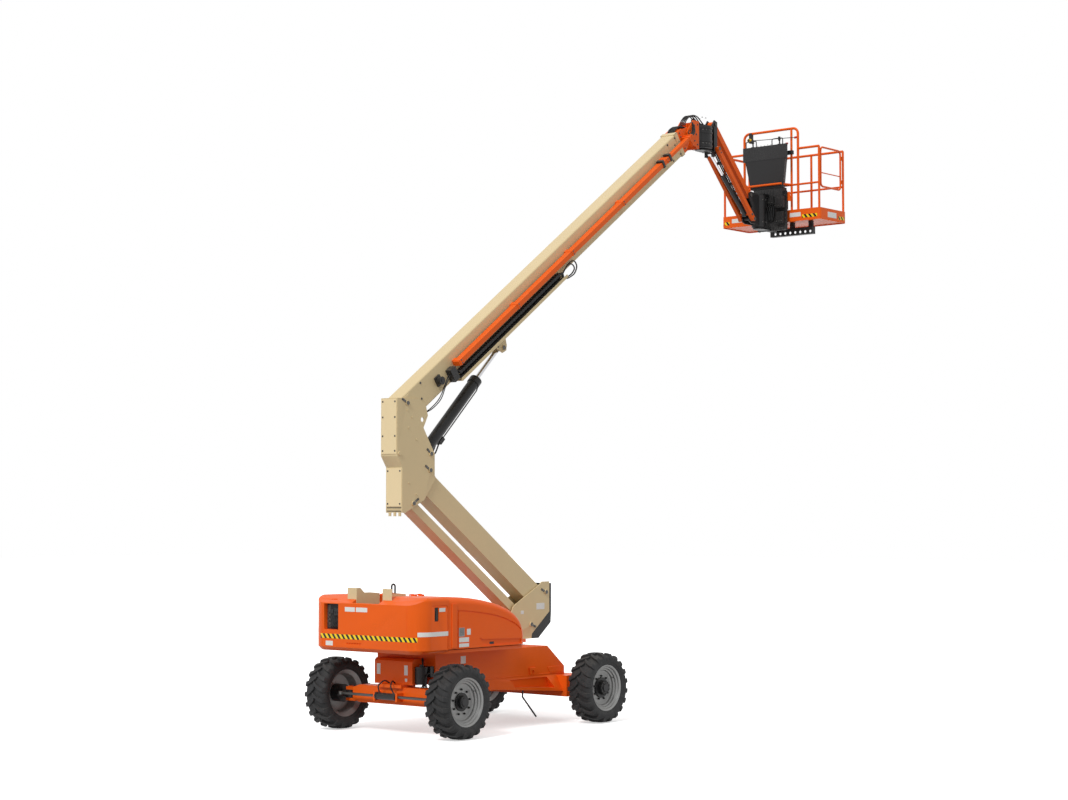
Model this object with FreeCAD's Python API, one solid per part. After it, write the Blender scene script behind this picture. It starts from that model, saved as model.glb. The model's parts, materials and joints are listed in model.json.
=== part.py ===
import FreeCAD, Part
import math
import os
from FreeCAD import Vector, Placement, Rotation

# Articulating telescopic boom lift. Millimetres, +X the way the boom reaches, +Z up.
# The origin is on the ground, midway between the axles, on the machine's centre plane.

# ---------------------------------------------------------------- driving dimensions
# Undercarriage
WHEELBASE = 2740.0
TRACK = 2064.0
TYRE_RADIUS = 458.0
TYRE_WIDTH = 356.0
RIM_RADIUS = 292.0
RIM_INSET = 112.0
LUG_HEIGHT = 34.0
LUG_COUNT = 20
KINGPIN_TRACK = 1600.0
CHASSIS_TOP = 1000.0
CHASSIS_BOTTOM = 620.0
CHASSIS_WIDTH = 1000.0
CHASSIS_FRONT = -1200.0
CHASSIS_REAR = 970.0
NOSE_LENGTH = 230.0
NOSE_WIDTH = 650.0
NOSE_TOP = 940.0
AXLE_BEAM_TOP = 590.0
AXLE_BEAM_BOTTOM = 372.0
AXLE_BEAM_SHORT = 122.0
DRIVE_BEAM_TOP = 606.0
DRIVE_BEAM_BOTTOM = 330.0
DRIVE_BEAM_WIDTH = 1360.0
DRIVE_BEAM_AHEAD = 220.0
SKIRT_START = -250.0
SKIRT_END_WIDTH = 1240.0
SKIRT_START_DEPTH = 120.0
SKIRT_END_DEPTH = 220.0
LASHING_INSETS = (640.0, 320.0)
LASHING_HOLE_Z = 676.0
LASHING_HOLE_RADIUS = 24.0
LASHING_THICKNESS = 24.0
STEER_ARM = 180.0
STEER_ROD_RADIUS = 17.0
STEER_ROD_RISE = 18.0
STEER_BARREL_HALF = 176.0
STEER_BARREL_RADIUS = 42.0

# Turntable
SWING_X = -200.0
BEARING_RADIUS = 440.0
BEARING_HEIGHT = 34.7
DECK_THICKNESS = 40.0
DECK_TIP_SHORT = 130.0
DECK_TIP_HALF = 160.0
TAIL_X = -1950.0
TAIL_LENGTH = 522.0
TAIL_END_WALL = 14.0
BODY_WIDTH = 1860.0
TAIL_BOTTOM = 1040.0
BODY_TOP = 1720.0
TAIL_CORNER = 220.0
TAIL_EDGE_DROP = 90.0
TAIL_EDGE_RUN = 180.0
HOOD_END = 20.0
HOOD_BOTTOM = 1086.0
HOOD_WALL = 25.0
HOOD_ROUND = 85.0
RECESS_INNER = 450.0
RECESS_OUTER = 700.0
RECESS_BOTTOM = 1300.0
RECESS_TOP = 1620.0
RECESS_DEPTH = 60.0
WELL_WIDTH = 460.0
WELL_WALL = 8.0
WELL_FLOOR = 1330.0
CRADLE_TOP = 1820.0
CRADLE_FLANGE = 158.0
SEAM = 6.0
HINGE_PIN_RADIUS = 5.0

EYE_SEAT = 40.0
EYE_HEIGHT = 110.0
EYE_SPAN = 60.0
EYE_RADIUS = 11.0

# Riser: base pins on the turntable, links and upright
RISER_BASE_X = 1372.0
RISER_BASE_Z = 1683.0
LINK_OFFSET_X = 308.0
LINK_OFFSET_Z = 420.0
LINK_LENGTH = 2793.0
LINK_ANGLE = 144.97
PLATE_OUTER = 140.0
PLATE_THICKNESS = 14.0
UPPER_LINK_WIDTH = 230.0
UPPER_LINK_DEPTH = 290.0
LOWER_LINK_WIDTH = 200.0
LOWER_LINK_DEPTH = 115.0
LINK_WALL = 10.0
PIN_RADIUS = 32.0
PIN_HEAD = 14.0
GUARD_DEPTH = 40.0
UPRIGHT_BACK = 182.0
UPRIGHT_CAP = 59.0
UPRIGHT_LOW_BACK = 204.0
UPRIGHT_FOOT = 116.0
UPRIGHT_SKIN = 12.0

# Main boom: pivot on the upright, section and lengths along the boom
BOOM_PIVOT_BACK = 423.0
BOOM_PIVOT_RISE = 834.8
BOOM_ANGLE = 35.3
BOOM_WIDTH = 240.0
BOOM_ABOVE_PIVOT = 105.0
BOOM_BELOW_PIVOT = 245.0
BOOM_WALL = 10.0
BOOM_LENGTH = 7110.0
BOOM_TAIL = 120.0
FLY_CLEARANCE = 10.0
FLY_WALL = 8.0
FLY_START = 1300.0
FLY_END = 7280.0
HEAD_PIVOT = 7400.0
HEAD_PIVOT_DROP = 50.0
SIDE_TUBE_WIDTH = 100.0
SIDE_TUBE_HEIGHT = 66.0
SIDE_TUBE_TOP = -22.0
SIDE_TUBE_STANDOFF = 30.0
SIDE_TUBE_START = 1000.0
SIDE_TUBE_END = 6600.0
SIDE_TUBE_WALL = 6.0
CARRIER_START = 950.0
CARRIER_END = 3560.0
CARRIER_HEIGHT = 120.0
CARRIER_WIDTH = 80.0

# Boom lift cylinder: base pin on the upright, rod pin on the boom's lug
LIFT_BASE_AHEAD = 12.0
LIFT_BASE_RISE = 206.8
LIFT_LUG_ALONG = 2018.0
LIFT_LUG_BELOW = 440.0
LIFT_BARREL_RADIUS = 74.0
LIFT_ROD_RADIUS = 36.0
LIFT_BARREL_LENGTH = 1420.0
LIFT_COLLAR = 90.0
LIFT_ROD_INSIDE = 800.0

# Boom head and jib
HEAD_REACH = 240.0
HEAD_RISE = 204.0
HEAD_DROP = 211.0
HEAD_PIN_RADIUS = 26.0
HEAD_PLATE = 15.0
JIB_SWING_REACH = 220.0
ACTUATOR_RADIUS = 165.0
ACTUATOR_INSET = 42.0
JIB_PIVOT_REACH = 280.0
JIB_PIVOT_RISE = 30.0
JIB_OFFSET_Z = 370.0
JIB_LENGTH = 1340.0
JIB_ANGLE = -46.0
JIB_EAR_OUTER = 70.0
JIB_EAR_THICKNESS = 15.0
JIB_PIN_RADIUS = 20.0
JIB_TUBE_WIDTH = 60.0
JIB_TUBE_HEIGHT = 64.0
JIB_TUBE_GAP = 6.0
JIB_UPPER_WIDTH = 96.0
JIB_UPPER_HEIGHT = 90.0
JIB_CYLINDER_BASE_BACK = 90.0
JIB_ROD_PIN_BACK = 40.0
JIB_ROD_PIN_DROP = 80.0
JIB_BARREL_RADIUS = 34.0
JIB_ROD_RADIUS = 17.0
JIB_BARREL_LENGTH = 800.0
JIB_ROD_INSIDE = 560.0

# Platform, with heights over the bottom edge of its toe-boards
ROTATOR_REACH = 319.0
ROTATOR_RADIUS = 110.0
ROTATOR_HEIGHT = 500.0
ROTATOR_DROP = 96.0
PLATFORM_REACH = 320.0
PLATFORM_DEPTH = 760.0
PLATFORM_WIDTH = 1830.0
PLATFORM_CORNER = 50.0
PLATFORM_LIFT = 95.0
FLOOR_INSET = 15.0
FLOOR_THICKNESS = 20.0
TOE_BOARD_HEIGHT = 182.0
TOE_BOARD_THICKNESS = 8.0
RAIL_HEIGHT = 1155.0
MID_RAIL_HEIGHT = 575.0
RAIL_RADIUS = 19.0
POST_RADIUS = 18.0
HOOP_RADIUS = 20.0
POST_GAP = 1.0
MID_RAIL_RADIUS = 16.0
HOOP_HEIGHT = 1480.0
HOOP_HALF_WIDTH = 500.0
HOOP_BEND = 90.0
SIDE_POST_Y = 300.0
MIDDLE_POST_Y = -380.0
TOE_GAP = (-70.0, 316.0)
TOE_GAP_BEVEL = 99.0
CONSOLE_FOOT = 525.0
CONSOLE_SHELF = 975.0
CONSOLE_HEIGHT = 1195.0
CONSOLE_RIGHT = -460.0
CONSOLE_END_SLANT = 175.0
GATE_TUBE_RADIUS = 15.0
GATE_HINGE_RISES = (70.0, 440.0)
GATE_PIN_RADIUS = 6.0
GATE_SLEEVE = 24.0

# Fits
RUN = 0.05
SEAT = 0.3
SIDE_GAP = 6.0
WEAR_PAD_GAP = 0.3

# ---------------------------------------------------------------- derived places
STEER_X = -WHEELBASE / 2
DRIVE_X = WHEELBASE / 2
DECK_BOTTOM = CHASSIS_TOP + BEARING_HEIGHT + SEAT
DECK_TOP = DECK_BOTTOM + DECK_THICKNESS
LINK_RAD = math.radians(LINK_ANGLE)
RISER_TOP_X = RISER_BASE_X + LINK_LENGTH * math.cos(LINK_RAD)
RISER_TOP_Z = RISER_BASE_Z + LINK_LENGTH * math.sin(LINK_RAD)
LOWER_BASE_X = RISER_BASE_X - LINK_OFFSET_X
LOWER_BASE_Z = RISER_BASE_Z - LINK_OFFSET_Z
LOWER_TOP_X = RISER_TOP_X - LINK_OFFSET_X
LOWER_TOP_Z = RISER_TOP_Z - LINK_OFFSET_Z
PLATE_INNER = PLATE_OUTER - PLATE_THICKNESS
BOOM_PIVOT_X = RISER_TOP_X - BOOM_PIVOT_BACK
BOOM_PIVOT_Z = RISER_TOP_Z + BOOM_PIVOT_RISE
BOOM_RAD = math.radians(BOOM_ANGLE)
LIFT_BASE_X = RISER_TOP_X + LIFT_BASE_AHEAD
LIFT_BASE_Z = RISER_TOP_Z + LIFT_BASE_RISE
FLY_HALF = BOOM_WIDTH / 2 - BOOM_WALL - FLY_CLEARANCE
HEAD_X = BOOM_PIVOT_X + HEAD_PIVOT * math.cos(BOOM_RAD) + HEAD_PIVOT_DROP * math.sin(BOOM_RAD)
HEAD_Z = BOOM_PIVOT_Z + HEAD_PIVOT * math.sin(BOOM_RAD) - HEAD_PIVOT_DROP * math.cos(BOOM_RAD)
HEAD_FACE_X = HEAD_X + HEAD_REACH
HEAD_TOP = HEAD_Z + HEAD_RISE
HEAD_BOTTOM = HEAD_Z - HEAD_DROP
JIB_SWING_X = HEAD_FACE_X + JIB_SWING_REACH
ACTUATOR_TOP = HEAD_TOP - ACTUATOR_INSET
ACTUATOR_BOTTOM = HEAD_BOTTOM + ACTUATOR_INSET
JIB_PIVOT_X = JIB_SWING_X + JIB_PIVOT_REACH
JIB_PIVOT_Z = ACTUATOR_BOTTOM + JIB_PIVOT_RISE
JIB_EAR_INNER = JIB_EAR_OUTER - JIB_EAR_THICKNESS
JIB_TUBE_INNER = JIB_EAR_OUTER + JIB_TUBE_GAP
JIB_TUBE_OUTER = JIB_TUBE_INNER + JIB_TUBE_WIDTH
JIB_RAD = math.radians(JIB_ANGLE)
JIB_CYLINDER_BASE_ALONG = JIB_LENGTH - JIB_CYLINDER_BASE_BACK
SUPPORT_X = JIB_PIVOT_X + JIB_LENGTH * math.cos(JIB_RAD)
SUPPORT_Z = JIB_PIVOT_Z + JIB_LENGTH * math.sin(JIB_RAD)
ROTATOR_X = SUPPORT_X + ROTATOR_REACH
ROTATOR_BOTTOM = SUPPORT_Z - ROTATOR_DROP
ROTATOR_TOP = ROTATOR_BOTTOM + ROTATOR_HEIGHT
PLATFORM_NEAR_X = ROTATOR_X + PLATFORM_REACH
PLATFORM_FAR_X = PLATFORM_NEAR_X + PLATFORM_DEPTH
PLATFORM_BOTTOM = ROTATOR_BOTTOM + PLATFORM_LIFT
FLOOR_Z = PLATFORM_BOTTOM + FLOOR_INSET
FLOOR_TOP = FLOOR_Z + FLOOR_THICKNESS
TOE_TOP = PLATFORM_BOTTOM + TOE_BOARD_HEIGHT
RAIL_TOP = PLATFORM_BOTTOM + RAIL_HEIGHT
# A corner post clears the toe-boards' rounded corner
CORNER_INSIDE = PLATFORM_CORNER - TOE_BOARD_THICKNESS
RAIL_INSET = PLATFORM_CORNER - (CORNER_INSIDE - POST_RADIUS - POST_GAP) / math.sqrt(2)
MID_RAIL_Z = PLATFORM_BOTTOM + MID_RAIL_HEIGHT
HOOP_TOP = PLATFORM_BOTTOM + HOOP_HEIGHT
CONSOLE_BOTTOM = PLATFORM_BOTTOM + CONSOLE_FOOT
CONSOLE_SHELF_Z = PLATFORM_BOTTOM + CONSOLE_SHELF
CONSOLE_TOP = PLATFORM_BOTTOM + CONSOLE_HEIGHT
GATE_HINGE_Z = [MID_RAIL_Z + rise for rise in GATE_HINGE_RISES]
HUB_SEAT = TYRE_WIDTH / 2 - RIM_INSET


# ---------------------------------------------------------------- small tools
def box(x0, x1, y0, y1, z0, z1):
    return Part.makeBox(x1 - x0, y1 - y0, z1 - z0, Vector(x0, y0, z0))


def cyl_x(y, z, r, x0, x1):
    return Part.makeCylinder(r, x1 - x0, Vector(x0, y, z), Vector(1, 0, 0))


def cyl_y(x, z, r, y0, y1):
    return Part.makeCylinder(r, y1 - y0, Vector(x, y0, z), Vector(0, 1, 0))


def cyl_z(x, y, r, z0, z1):
    return Part.makeCylinder(r, z1 - z0, Vector(x, y, z0), Vector(0, 0, 1))


def face_of(points):
    return Part.Face(Part.makePolygon(points + [points[0]]))


def prism_y(points, y0, y1):
    """A flat outline in X and Z, thick from y0 to y1."""
    return face_of([Vector(x, y0, z) for x, z in points]).extrude(Vector(0, y1 - y0, 0))


def prism_x(points, x0, x1):
    """A flat outline in Y and Z, thick from x0 to x1."""
    return face_of([Vector(x0, y, z) for y, z in points]).extrude(Vector(x1 - x0, 0, 0))


def prism_z(points, z0, z1):
    """A flat outline in X and Y, thick from z0 to z1."""
    return face_of([Vector(x, y, z0) for x, y in points]).extrude(Vector(0, 0, z1 - z0))


def solid_of(faces):
    solid = Part.makeSolid(Part.makeShell(faces))
    if solid.Volume < 0:
        solid.reverse()
    return solid


def fuse(shapes):
    first = shapes[0]
    if len(shapes) == 1:
        return first
    return first.multiFuse(shapes[1:]).removeSplitter()


def cut(shape, tools):
    return shape.cut(tools).removeSplitter()


def fillet_where(shape, radius, wanted):
    """Rounds the edges for which wanted(edge) is true."""
    return shape.makeFillet(radius, [edge for edge in shape.Edges if wanted(edge)])


def runs_along(edge, axis):
    """True for a straight edge that runs along X, Y or Z."""
    if len(edge.Vertexes) != 2 or not isinstance(edge.Curve, Part.Line):
        return False
    step = edge.Vertexes[1].Point.sub(edge.Vertexes[0].Point)
    return abs(step.dot(axis)) > 0.999 * step.Length


def round_corners(shape, radius, axis):
    return fillet_where(shape, radius, lambda edge: runs_along(edge, axis))


def mirrored(shape):
    return shape.mirror(Vector(0, 0, 0), Vector(0, 1, 0))


def both_sides(shape):
    """The solid and its mirror image across the centre plane, as one compound."""
    return Part.makeCompound([shape, mirrored(shape)])


def tilted(shape, x, z, angle):
    """Moves a shape drawn along +X from the origin to (x, z), pointing up at the angle."""
    placed = shape.copy()
    placed.Placement = Placement(Vector(x, 0, z), Rotation(Vector(0, 1, 0), -angle))
    return placed


def in_boom(shape):
    return tilted(shape, BOOM_PIVOT_X, BOOM_PIVOT_Z, BOOM_ANGLE)


def in_link(shape, x, z):
    return tilted(shape, x, z, LINK_ANGLE)


def in_jib(shape, x, z):
    return tilted(shape, x, z, JIB_ANGLE)


def pipe(points, radius, bend=0.0):
    """The straight runs and the tangent bends of a round bar, as a list of solids."""
    points = [Vector(*point) for point in points]
    runs = []
    start = points[0]
    for before, corner, after in zip(points, points[1:], points[2:]):
        back = before.sub(corner).normalize()
        ahead = after.sub(corner).normalize()
        half = math.acos(max(-1.0, min(1.0, back.dot(ahead)))) / 2
        reach = bend / math.tan(half)
        middle = back.add(ahead).normalize()
        centre = corner.add(Vector(middle).multiply(bend / math.sin(half)))
        enter = corner.add(Vector(back).multiply(reach))
        disc = Part.Face(Part.Wire([Part.Circle(enter, back, radius).toShape()]))
        runs.append(Part.makeCylinder(radius, enter.sub(start).Length, start, enter.sub(start)))
        runs.append(disc.revolve(centre, ahead.cross(back), 180 - 2 * math.degrees(half)))
        start = corner.add(Vector(ahead).multiply(reach))
    last = points[-1].sub(start)
    runs.append(Part.makeCylinder(radius, last.Length, start, last))
    return runs


def hollow_bar(x0, x1, half_width, z0, z1, wall):
    """A rectangular tube along X."""
    outer = box(x0, x1, -half_width, half_width, z0, z1)
    inner = box(x0 - 1, x1 + 1, -half_width + wall, half_width - wall, z0 + wall, z1 - wall)
    return outer.cut(inner)


def save(name, shape):
    solids = shape.Solids
    if not solids:
        raise ValueError(name + " has no solid")
    result = solids[0] if len(solids) == 1 else Part.makeCompound(solids)
    if not result.isValid():
        print("not valid:", name)
    result.exportStep("parts/" + name + ".step")
    print(name, len(solids), round(sum(solid.Volume for solid in solids) / 1e6, 2))


# ---------------------------------------------------------------- wheels
def tyre(x, y):
    """A lugged tyre round the Y axis, centred at (x, y), its flats as many as the lugs on one side."""
    half = TYRE_WIDTH / 2
    tread = TYRE_RADIUS - LUG_HEIGHT
    step = 360.0 / LUG_COUNT
    bead = (RIM_RADIUS + SEAT) / math.cos(math.radians(step / 2))
    profile = [
        (bead, -half + 30), (tread - 50, -half + 6), (tread, -half + 62),
        (tread, half - 62), (tread - 50, half - 6), (bead, half - 30)]
    rings = []
    for radius, across in profile:
        corners = []
        for index in range(LUG_COUNT):
            turn = math.radians(step * (index + 0.25))
            corners.append(Vector(radius * math.cos(turn), across, radius * math.sin(turn)))
        rings.append(corners)
    faces = []
    for first, second in zip(rings, rings[1:] + rings[:1]):
        for index in range(LUG_COUNT):
            after = (index + 1) % LUG_COUNT
            faces.append(face_of([first[index], first[after], second[after], second[index]]))
    carcass = solid_of(faces)
    lugs = []
    for side in (1, -1):
        pattern = lug(half, tread, side)
        for index in range(LUG_COUNT):
            bar = pattern.copy()
            bar.rotate(Vector(0, 0, 0), Vector(0, 1, 0), step * (index + (0.0 if side > 0 else 0.5)))
            lugs.append(bar)
    shape = carcass.multiFuse(lugs)
    shape.translate(Vector(x, y, TYRE_RADIUS))
    return shape


def lug(half, tread, side):
    """One slanted tread bar, from past the middle of the tread out over the shoulder."""
    inner = -14.0
    outer = half - 22
    foot = 26.0
    tip = 20.0
    lean = 74.0 / (outer - inner)
    ends = (inner + 4, outer - 8)
    low_crown = math.sqrt(TYRE_RADIUS ** 2 - (tip + lean * (outer - ends[0])) ** 2)
    slope = (TYRE_RADIUS - low_crown) / (ends[1] - ends[0])

    def corners(first, last, width, height):
        places = []
        for across, along in ((first, -width), (first, width), (last, width), (last, -width)):
            drop = slope * (ends[1] - across)
            places.append(Vector(height - drop, side * across, along - lean * (outer - across)))
        return places

    low = corners(inner, outer, foot, tread - 40)
    high = corners(ends[0], ends[1], tip, TYRE_RADIUS)
    faces = [face_of(low), face_of(high)]
    for index in range(4):
        after = (index + 1) % 4
        faces.append(face_of([low[index], low[after], high[after], high[index]]))
    return solid_of(faces)


def rim(x, y, side):
    """A stepped disc wheel with its hub; side is the way its outer face looks."""
    half = TYRE_WIDTH / 2
    seat = RIM_RADIUS
    lip = half - 40
    wall = 9.0
    disc = HUB_SEAT + 2
    profile = [
        (seat, -lip), (seat, lip), (seat - wall, lip), (seat - wall, lip - 40), (seat - 34, lip - 52),
        (seat - 42, disc + 26), (150, disc + 12), (150, disc + 40), (96, disc + 52), (96, disc + 74),
        (0, disc + 74), (0, HUB_SEAT), (150, HUB_SEAT), (seat - 56, disc + 10), (seat - 46, -lip + 60),
        (seat - wall, -lip + 44), (seat - wall, -lip),
    ]
    face = face_of([Vector(r, side * a, 0) for r, a in profile])
    shape = face.revolve(Vector(0, 0, 0), Vector(0, 1, 0), 360)
    shape.translate(Vector(x, y, TYRE_RADIUS))
    return shape


def make_wheels():
    for end, x in (("steer", STEER_X), ("drive", DRIVE_X)):
        for name, side in (("left", 1), ("right", -1)):
            y = side * TRACK / 2
            save("tyre_" + end + "_" + name, tyre(x, y))
            save("rim_" + end + "_" + name, rim(x, y, side))


# ---------------------------------------------------------------- undercarriage
def lashing_eye(x, side):
    """A flat tie-down ear on the chassis side, with a hole along Y."""
    low = CHASSIS_WIDTH / 2 + SEAT
    y0, y1 = sorted((side * low, side * (low + LASHING_THICKNESS)))
    z = LASHING_HOLE_Z
    ear = prism_y([(x - 70, z + 54), (x + 70, z + 54), (x + 46, z - 36), (x - 46, z - 36)], y0, y1)
    return ear.cut(cyl_y(x, z, LASHING_HOLE_RADIUS, y0 - 1, y1 + 1))


def chassis_skirt():
    """The lower part of the frame, that widens and deepens towards the drive axle."""
    x0, x1 = SKIRT_START, DRIVE_X - DRIVE_BEAM_AHEAD - SEAT
    top = CHASSIS_BOTTOM
    half, end_half = CHASSIS_WIDTH / 2, SKIRT_END_WIDTH / 2
    low, end_low = top - SKIRT_START_DEPTH, top - SKIRT_END_DEPTH
    start_top = [Vector(x0, y, top) for y in (-half, half)]
    start_low = [Vector(x0, y, low) for y in (-half, half)]
    end_top = [Vector(x1, y, top) for y in (-half, half)]
    end_low = [Vector(x1, y, end_low) for y in (-end_half, end_half)]
    faces = [face_of([start_top[0], start_top[1], end_top[1], end_top[0]]),
             face_of([start_low[0], start_low[1], end_low[1], end_low[0]]),
             face_of([start_top[0], start_top[1], start_low[1], start_low[0]]),
             face_of([end_top[0], end_top[1], end_low[1], end_low[0]])]
    for index in (0, 1):
        faces.append(face_of([start_top[index], end_top[index], end_low[index]]))
        faces.append(face_of([start_top[index], end_low[index], start_low[index]]))
    return solid_of(faces)


def make_chassis():
    half = CHASSIS_WIDTH / 2
    slope_x = CHASSIS_REAR + 350
    body = prism_y([
        (CHASSIS_FRONT, CHASSIS_TOP), (CHASSIS_REAR, CHASSIS_TOP), (slope_x, CHASSIS_BOTTOM + 100),
        (slope_x, CHASSIS_BOTTOM), (CHASSIS_FRONT, CHASSIS_BOTTOM)], -half, half)
    nose_half = NOSE_WIDTH / 2
    tip = CHASSIS_FRONT - NOSE_LENGTH
    nose = prism_y([
        (tip, NOSE_TOP - 30), (tip + 30, NOSE_TOP), (CHASSIS_FRONT, NOSE_TOP), (CHASSIS_FRONT, CHASSIS_BOTTOM),
        (tip, CHASSIS_BOTTOM)], -nose_half, nose_half)
    save("chassis_frame", fuse([body, nose, chassis_skirt()]))
    front, rear = LASHING_INSETS
    places = [(x, side) for x in (CHASSIS_FRONT + front, CHASSIS_REAR - rear) for side in (1, -1)]
    save("lashing_eyes", Part.makeCompound([lashing_eye(x, side) for x, side in places]))

    ring = cyl_z(SWING_X, 0, BEARING_RADIUS, CHASSIS_TOP, CHASSIS_TOP + BEARING_HEIGHT)
    save("swing_bearing", ring.cut(cyl_z(SWING_X, 0, BEARING_RADIUS - 120, CHASSIS_TOP - 1, DECK_BOTTOM)))


def make_axles():
    kingpin = KINGPIN_TRACK / 2
    beam_end = kingpin - AXLE_BEAM_SHORT
    beam = prism_x([
        (-beam_end, AXLE_BEAM_TOP - 40), (-560, AXLE_BEAM_TOP), (560, AXLE_BEAM_TOP), (beam_end, AXLE_BEAM_TOP - 40),
        (beam_end, AXLE_BEAM_BOTTOM + 30), (560, AXLE_BEAM_BOTTOM), (-560, AXLE_BEAM_BOTTOM),
        (-beam_end, AXLE_BEAM_BOTTOM + 30)], STEER_X - 90, STEER_X + 90)
    seat = box(STEER_X - 130, STEER_X + 130, -200, 200, AXLE_BEAM_TOP - 10, CHASSIS_BOTTOM)
    forks = []
    for side in (1, -1):
        for z0, z1 in ((TYRE_RADIUS + 52, TYRE_RADIUS + 92), (TYRE_RADIUS - 86, TYRE_RADIUS - 52)):
            inner = sorted((side * (beam_end - 10), side * (kingpin + 44)))
            forks.append(box(STEER_X - 44, STEER_X + 44, inner[0], inner[1], z0, z1))
        forks.append(cyl_z(STEER_X, side * kingpin, PIN_RADIUS, TYRE_RADIUS - 90, TYRE_RADIUS + 98))
    rod_x, rod_z = STEER_X - STEER_ARM, TYRE_RADIUS + STEER_ROD_RISE
    for side in (1, -1):
        y = side * (STEER_BARREL_HALF + 14)
        clevis = box(rod_x - 30, STEER_X - 80, y - 14, y + 14, rod_z - 60, rod_z + 50)
        forks.append(clevis.cut(cyl_y(rod_x, rod_z, STEER_ROD_RADIUS + SEAT, y - 20, y + 20)))
    save("steer_axle", fuse([beam, seat] + forks))

    half = DRIVE_BEAM_WIDTH / 2
    housing = box(DRIVE_X - DRIVE_BEAM_AHEAD, DRIVE_X + 160, -half, half, DRIVE_BEAM_BOTTOM, DRIVE_BEAM_TOP)
    saddle = box(DRIVE_X - DRIVE_BEAM_AHEAD, DRIVE_X - 50, -CHASSIS_WIDTH / 2, CHASSIS_WIDTH / 2, DRIVE_BEAM_TOP - 5,
                 CHASSIS_BOTTOM)
    ends = []
    for side in (1, -1):
        hub_y = side * (TRACK / 2 + HUB_SEAT - SEAT)
        low, high = sorted((side * (half - 10), hub_y))
        ends.append(cyl_y(DRIVE_X, TYRE_RADIUS, 130, low, high))
    save("drive_axle", fuse([housing, saddle] + ends))


def make_steering():
    kingpin = KINGPIN_TRACK / 2
    hub_y = TRACK / 2 + HUB_SEAT - SEAT
    boss = cyl_z(STEER_X, kingpin, 62, TYRE_RADIUS - 46, TYRE_RADIUS + 46)
    spindle = cyl_y(STEER_X, TYRE_RADIUS, 45, kingpin, hub_y)
    motor = cyl_y(STEER_X, TYRE_RADIUS, 112, TRACK / 2 - TYRE_WIDTH / 2 + 70, hub_y)
    arm = box(STEER_X - STEER_ARM - 34, STEER_X, kingpin - 30, kingpin + 30, TYRE_RADIUS - 14, TYRE_RADIUS)
    knuckle = fuse([boss, spindle, motor, arm])
    knuckle = knuckle.cut(cyl_z(STEER_X, kingpin, PIN_RADIUS + RUN, TYRE_RADIUS - 100, TYRE_RADIUS + 100))
    save("steering_knuckle_left", knuckle)
    save("steering_knuckle_right", mirrored(knuckle))

    x = STEER_X - STEER_ARM
    z = TYRE_RADIUS + STEER_ROD_RISE
    half = STEER_BARREL_HALF
    barrel = cyl_y(x, z, STEER_BARREL_RADIUS, -half + SEAT, half - SEAT)
    save("steering_cylinder", barrel.cut(cyl_y(x, z, STEER_ROD_RADIUS + SEAT, -half, half)))
    rod = cyl_y(x, z, STEER_ROD_RADIUS, -kingpin + 6, kingpin - 6)
    eyes = [cyl_z(x, side * kingpin, 30, TYRE_RADIUS + SEAT, z + STEER_ROD_RADIUS + 5) for side in (1, -1)]
    save("steering_rod", fuse([rod] + eyes))


def make_chassis_fittings():
    x = CHASSIS_FRONT - 145
    y = -NOSE_WIDTH / 2 - 76
    can = cyl_z(x, y, 70, 632, 846)
    bracket = box(x - 40, x + 40, y + 60, -NOSE_WIDTH / 2, 640, 830)
    save("hydraulic_canister", fuse([can, bracket]))
    valve = box(CHASSIS_FRONT - 70, CHASSIS_FRONT, -480, -NOSE_WIDTH / 2, 720, 850)
    save("valve_block", valve)


# ---------------------------------------------------------------- turntable
HOOD_CROWN = ((0.0, 1.0), (0.28, 0.968), (0.535, 0.882), (0.76, 0.745), (0.93, 0.52), (1.0, 0.12))


def hood_outline(inset):
    """The hood's side profile: a flat top that falls in one curve to the deck."""
    start_x = TAIL_X + TAIL_LENGTH + SEAM
    end_x = HOOD_END - inset
    top = BODY_TOP - inset
    span = end_x - start_x
    rise = top - HOOD_BOTTOM
    points = [Vector(start_x + span * along, 0, HOOD_BOTTOM + rise * up) for along, up in HOOD_CROWN]
    crown = Part.BSplineCurve()
    crown.interpolate(points)
    foot = Vector(end_x, 0, HOOD_BOTTOM)
    base = Vector(start_x, 0, HOOD_BOTTOM)
    return [crown.toShape(), Part.LineSegment(points[-1], foot).toShape(),
            Part.LineSegment(foot, base).toShape(), Part.LineSegment(base, points[0]).toShape()]


def hood_block(inset, y0, y1):
    face = Part.Face(Part.Wire(hood_outline(inset)))
    face.translate(Vector(0, y0, 0))
    return face.extrude(Vector(0, y1 - y0, 0))


def hood_hinge_axis():
    """(half-distance across, height) of the hoods' hinge pins, just over their inner top edges."""
    return WELL_WIDTH / 2 + 8, BODY_TOP + 12


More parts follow.
